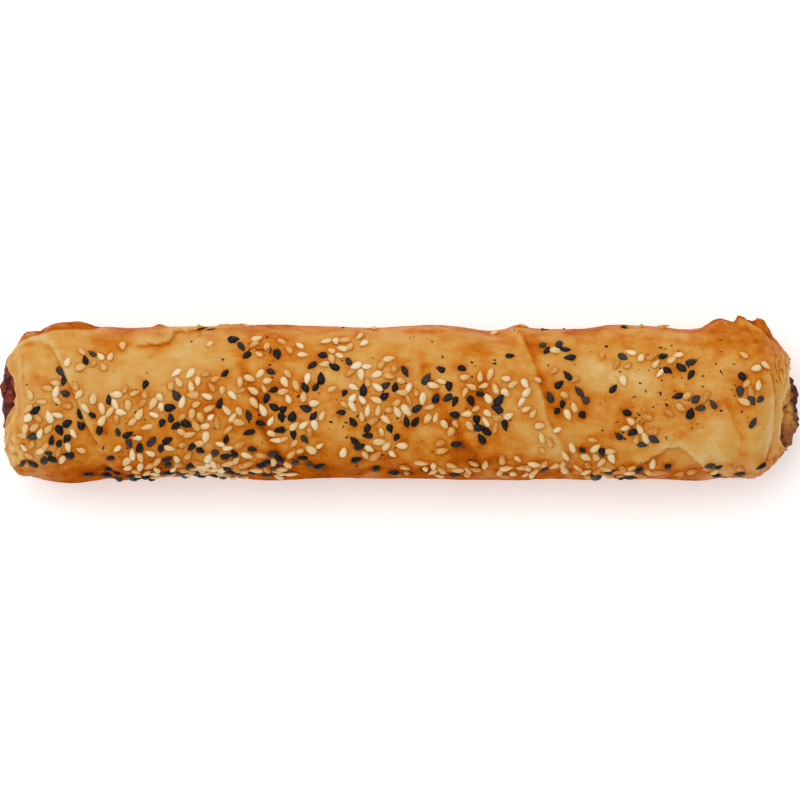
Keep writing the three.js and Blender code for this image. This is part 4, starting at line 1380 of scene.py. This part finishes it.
def share_property(name, description, default):
    """A share between 0 and 1."""
    return bpy.props.FloatProperty(
        name=name, description=description, default=default, min=0.0, max=1.0, subtype="FACTOR",
    )


class BorekRollSettings(bpy.types.PropertyGroup):
    """Sizes of the pastry roll."""

    width: length_property("Width", "Width across the roll", 40.0)
    height: length_property("Height", "Height of the roll above the tray", 34.0)
    lean: length_property("Lean", "How far a wrap line runs along from the crest to a side", 10.0)
    wrinkles: length_property("Wrinkles", "Height of the fine wrinkles in the sheets", 0.16)


class BorekBakeSettings(bpy.types.PropertyGroup):
    """Colours and gloss of the pastry as it browns."""

    cream: colour_property("Cream", "Hardly baked pastry", 218, 180, 116)
    straw: colour_property("Straw", "Lightly baked pastry", 214, 162, 82)
    gold: colour_property("Gold", "Most of the pastry", 211, 147, 61)
    amber: colour_property("Amber", "Well baked pastry", 203, 119, 23)
    brown: colour_property("Brown", "Pastry at the browned edges", 183, 88, 8)
    dark_brown: colour_property("Dark brown", "The most browned pastry", 124, 56, 18)
    gloss_roughness: share_property("Gloss", "Roughness where the glaze is glossy", 0.36)
    dull_roughness: share_property("Dullness", "Roughness where the glaze is dull", 0.56)


class BorekSeedSettings(bpy.types.PropertyGroup):
    """Colours and scatter of the seeds."""

    start: bpy.props.IntProperty(
        name="Scatter", description="Start of the seeds' draws", default=20611, min=1,
    )
    ivory: colour_property("Ivory", "The palest seeds", 236, 216, 176)
    pale: colour_property("Pale", "Most pale seeds", 226, 190, 128)
    toasted: colour_property("Toasted", "Toasted pale seeds", 217, 158, 78)
    roast: colour_property("Roast", "Tips of toasted seeds", 204, 132, 46)
    black: colour_property("Black", "The darkest dark seeds", 7, 7, 8)
    soot: colour_property("Soot", "Most dark seeds", 22, 20, 20)
    husk: colour_property("Husk", "Worn husks of dark seeds", 62, 54, 50)


class BorekFillingSettings(bpy.types.PropertyGroup):
    """Colours of the filling."""

    deep_red: colour_property("Deep red", "Hollows of the moist filling", 66, 22, 17)
    red_brown: colour_property("Red brown", "Most of the moist filling", 118, 44, 32)
    pink: colour_property("Pink", "Bits in the moist filling", 164, 88, 66)
    golden: colour_property("Golden", "The filling inside the right end", 184, 124, 50)
    straw: colour_property("Straw", "The palest bits at the right end", 206, 152, 76)
    rust: colour_property("Rust", "Browned bits at the right end", 136, 60, 32)
    charred: colour_property("Charred", "The filling's charred tip", 46, 26, 24)


class BorekStageSettings(bpy.types.PropertyGroup):
    """The floor, the lights and the camera."""

    floor: colour_property("Floor", "The plain pale floor", 252, 252, 252)
    floor_glow: share_property("Floor glow", "How brightly the floor is lit from below", 0.26)
    key_power: bpy.props.FloatProperty(
        name="Key light", description="Power of the large soft light", default=10.4, min=0.0, unit="POWER",
    )
    fill_strength: bpy.props.FloatProperty(
        name="Fill", description="Strength of the even light from all sides", default=0.62, min=0.0,
    )
    camera_height: length_property("Camera height", "Height of the camera above the floor", 1500.0)


class BorekPastry(bpy.types.Operator):
    """Make the pastry roll with its sheet edges, folds and browning"""

    bl_idname = "borek.pastry"
    bl_label = "Pastry"

    def execute(self, context):
        scene = context.scene
        roll = Roll(scene.borek_roll)
        seeds = sprinkled_seeds(roll, scene.borek_seeds.start)
        seed_points = roll.places(seeds[:, 1], seeds[:, 2])[0]
        material = pastry_material(scene.borek_bake)
        keep_piece("pastry_roll", pastry_mesh(roll, seed_points, material), "pastry")
        keep_piece("pastry_slivers", sliver_mesh(roll, material))
        return {"FINISHED"}


class BorekFilling(bpy.types.Operator):
    """Make the filling that shows at both ends"""

    bl_idname = "borek.filling"
    bl_label = "Filling"

    def execute(self, context):
        scene = context.scene
        material = filling_material(scene.borek_filling)
        keep_piece("filling_core", filling_mesh(Roll(scene.borek_roll), material), "filling")
        return {"FINISHED"}


class BorekSeeds(bpy.types.Operator):
    """Sprinkle the pale seeds, the dark seeds, the tiny specks and the slivers of husk"""

    bl_idname = "borek.seeds"
    bl_label = "Seeds"

    def execute(self, context):
        scene = context.scene
        settings = scene.borek_seeds
        roll = Roll(scene.borek_roll)
        seeds = sprinkled_seeds(roll, settings.start)
        pale_scatter, dark_scatter = (seeds[seeds[:, 0] == kind, 1:] for kind in (0, 1))
        pale, dark = pale_seed_material(settings), dark_seed_material(settings)
        strew("pale_seeds", roll, pale_scatter, pale)
        strew("dark_seeds", roll, dark_scatter, dark)
        strew("seed_specks", roll, sprinkled_specks(settings.start), dark)
        strew("husk_slivers", roll, np.array(HUSKS), dark)
        return {"FINISHED"}


class BorekStage(bpy.types.Operator):
    """Make the floor, the soft lights and the camera"""

    bl_idname = "borek.stage"
    bl_label = "Stage"

    def execute(self, context):
        scene = context.scene
        settings = scene.borek_stage
        corners = np.array([(-1, -1, 0), (1, -1, 0), (1, 1, 0), (-1, 1, 0)]) * FLOOR_REACH
        material, tree, shader = new_material("Pale floor")
        set_inputs(tree, shader, {
            "Base Color": (*settings.floor, 1.0),
            "Roughness": 0.9,
            "Specular IOR Level": 0.1,
            "Emission Color": (*settings.floor, 1.0),
            "Emission Strength": settings.floor_glow,
        })
        floor = bpy.data.objects.new("floor", new_mesh("floor", corners, [(0, 1, 2, 3)], material))
        scene.collection.objects.link(floor)
        floor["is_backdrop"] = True

        lamp = bpy.data.lights.new("key_light", "AREA")
        lamp.shape = "RECTANGLE"
        lamp.size, lamp.size_y = KEY_SIZE
        lamp.energy = settings.key_power
        key = bpy.data.objects.new("key_light", lamp)
        key.location = KEY_PLACE
        key.rotation_euler = (-key.location).to_track_quat("-Z", "Y").to_euler()
        scene.collection.objects.link(key)

        world = bpy.data.worlds.new("soft_room")
        world.use_nodes = True
        world.node_tree.nodes.clear()
        light = add_node(world.node_tree, "ShaderNodeBackground", {
            "Color": (1.0, 1.0, 1.0, 1.0), "Strength": settings.fill_strength,
        })
        add_node(world.node_tree, "ShaderNodeOutputWorld", {"Surface": light.outputs[0]})
        scene.world = world

        lens = bpy.data.cameras.new("camera")
        lens.sensor_width = SENSOR_WIDTH
        widest = Roll(scene.borek_roll).axis_height * MM
        lens.lens = lens.sensor_width * (settings.camera_height - widest) / (FRAME_WIDTH * MM)
        lens.clip_end = CAMERA_REACH
        camera = bpy.data.objects.new("camera", lens)
        camera.location = (0.0, FRAME_UP * MM, settings.camera_height)
        scene.collection.objects.link(camera)
        scene.camera = camera
        scene.view_settings.view_transform = "Standard"
        return {"FINISHED"}


class BorekPanel(bpy.types.Panel):
    """Settings and makers of the borek"""

    bl_idname = "VIEW3D_PT_borek"
    bl_label = "Borek"
    bl_space_type = "VIEW_3D"
    bl_region_type = "UI"
    bl_category = "Borek"

    def draw(self, context):
        for name in GROUPS:
            box = self.layout.box()
            settings = getattr(context.scene, name)
            for prop in settings.bl_rna.properties:
                if prop.identifier not in {"rna_type", "name"}:
                    box.prop(settings, prop.identifier)
        for operator in MAKERS:
            self.layout.operator(operator.bl_idname)


GROUPS = {
    "borek_roll": BorekRollSettings,
    "borek_bake": BorekBakeSettings,
    "borek_seeds": BorekSeedSettings,
    "borek_filling": BorekFillingSettings,
    "borek_stage": BorekStageSettings,
}
MAKERS = (BorekPastry, BorekFilling, BorekSeeds, BorekStage)


def register():
    for name, group in GROUPS.items():
        bpy.utils.register_class(group)
        setattr(bpy.types.Scene, name, bpy.props.PointerProperty(type=group))
    for operator in MAKERS:
        bpy.utils.register_class(operator)
    bpy.utils.register_class(BorekPanel)


def unregister():
    bpy.utils.unregister_class(BorekPanel)
    for operator in reversed(MAKERS):
        bpy.utils.unregister_class(operator)
    for name, group in reversed(GROUPS.items()):
        delattr(bpy.types.Scene, name)
        bpy.utils.unregister_class(group)


def main():
    register()
    bpy.ops.borek.pastry()
    bpy.ops.borek.filling()
    bpy.ops.borek.seeds()
    bpy.ops.borek.stage()
    boxes = {"cad": CAD_BOX, "visual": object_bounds()}
    {name: [list(corner) for corner in box] for name, box in boxes.items()}


if __name__ == "__main__":
    main()
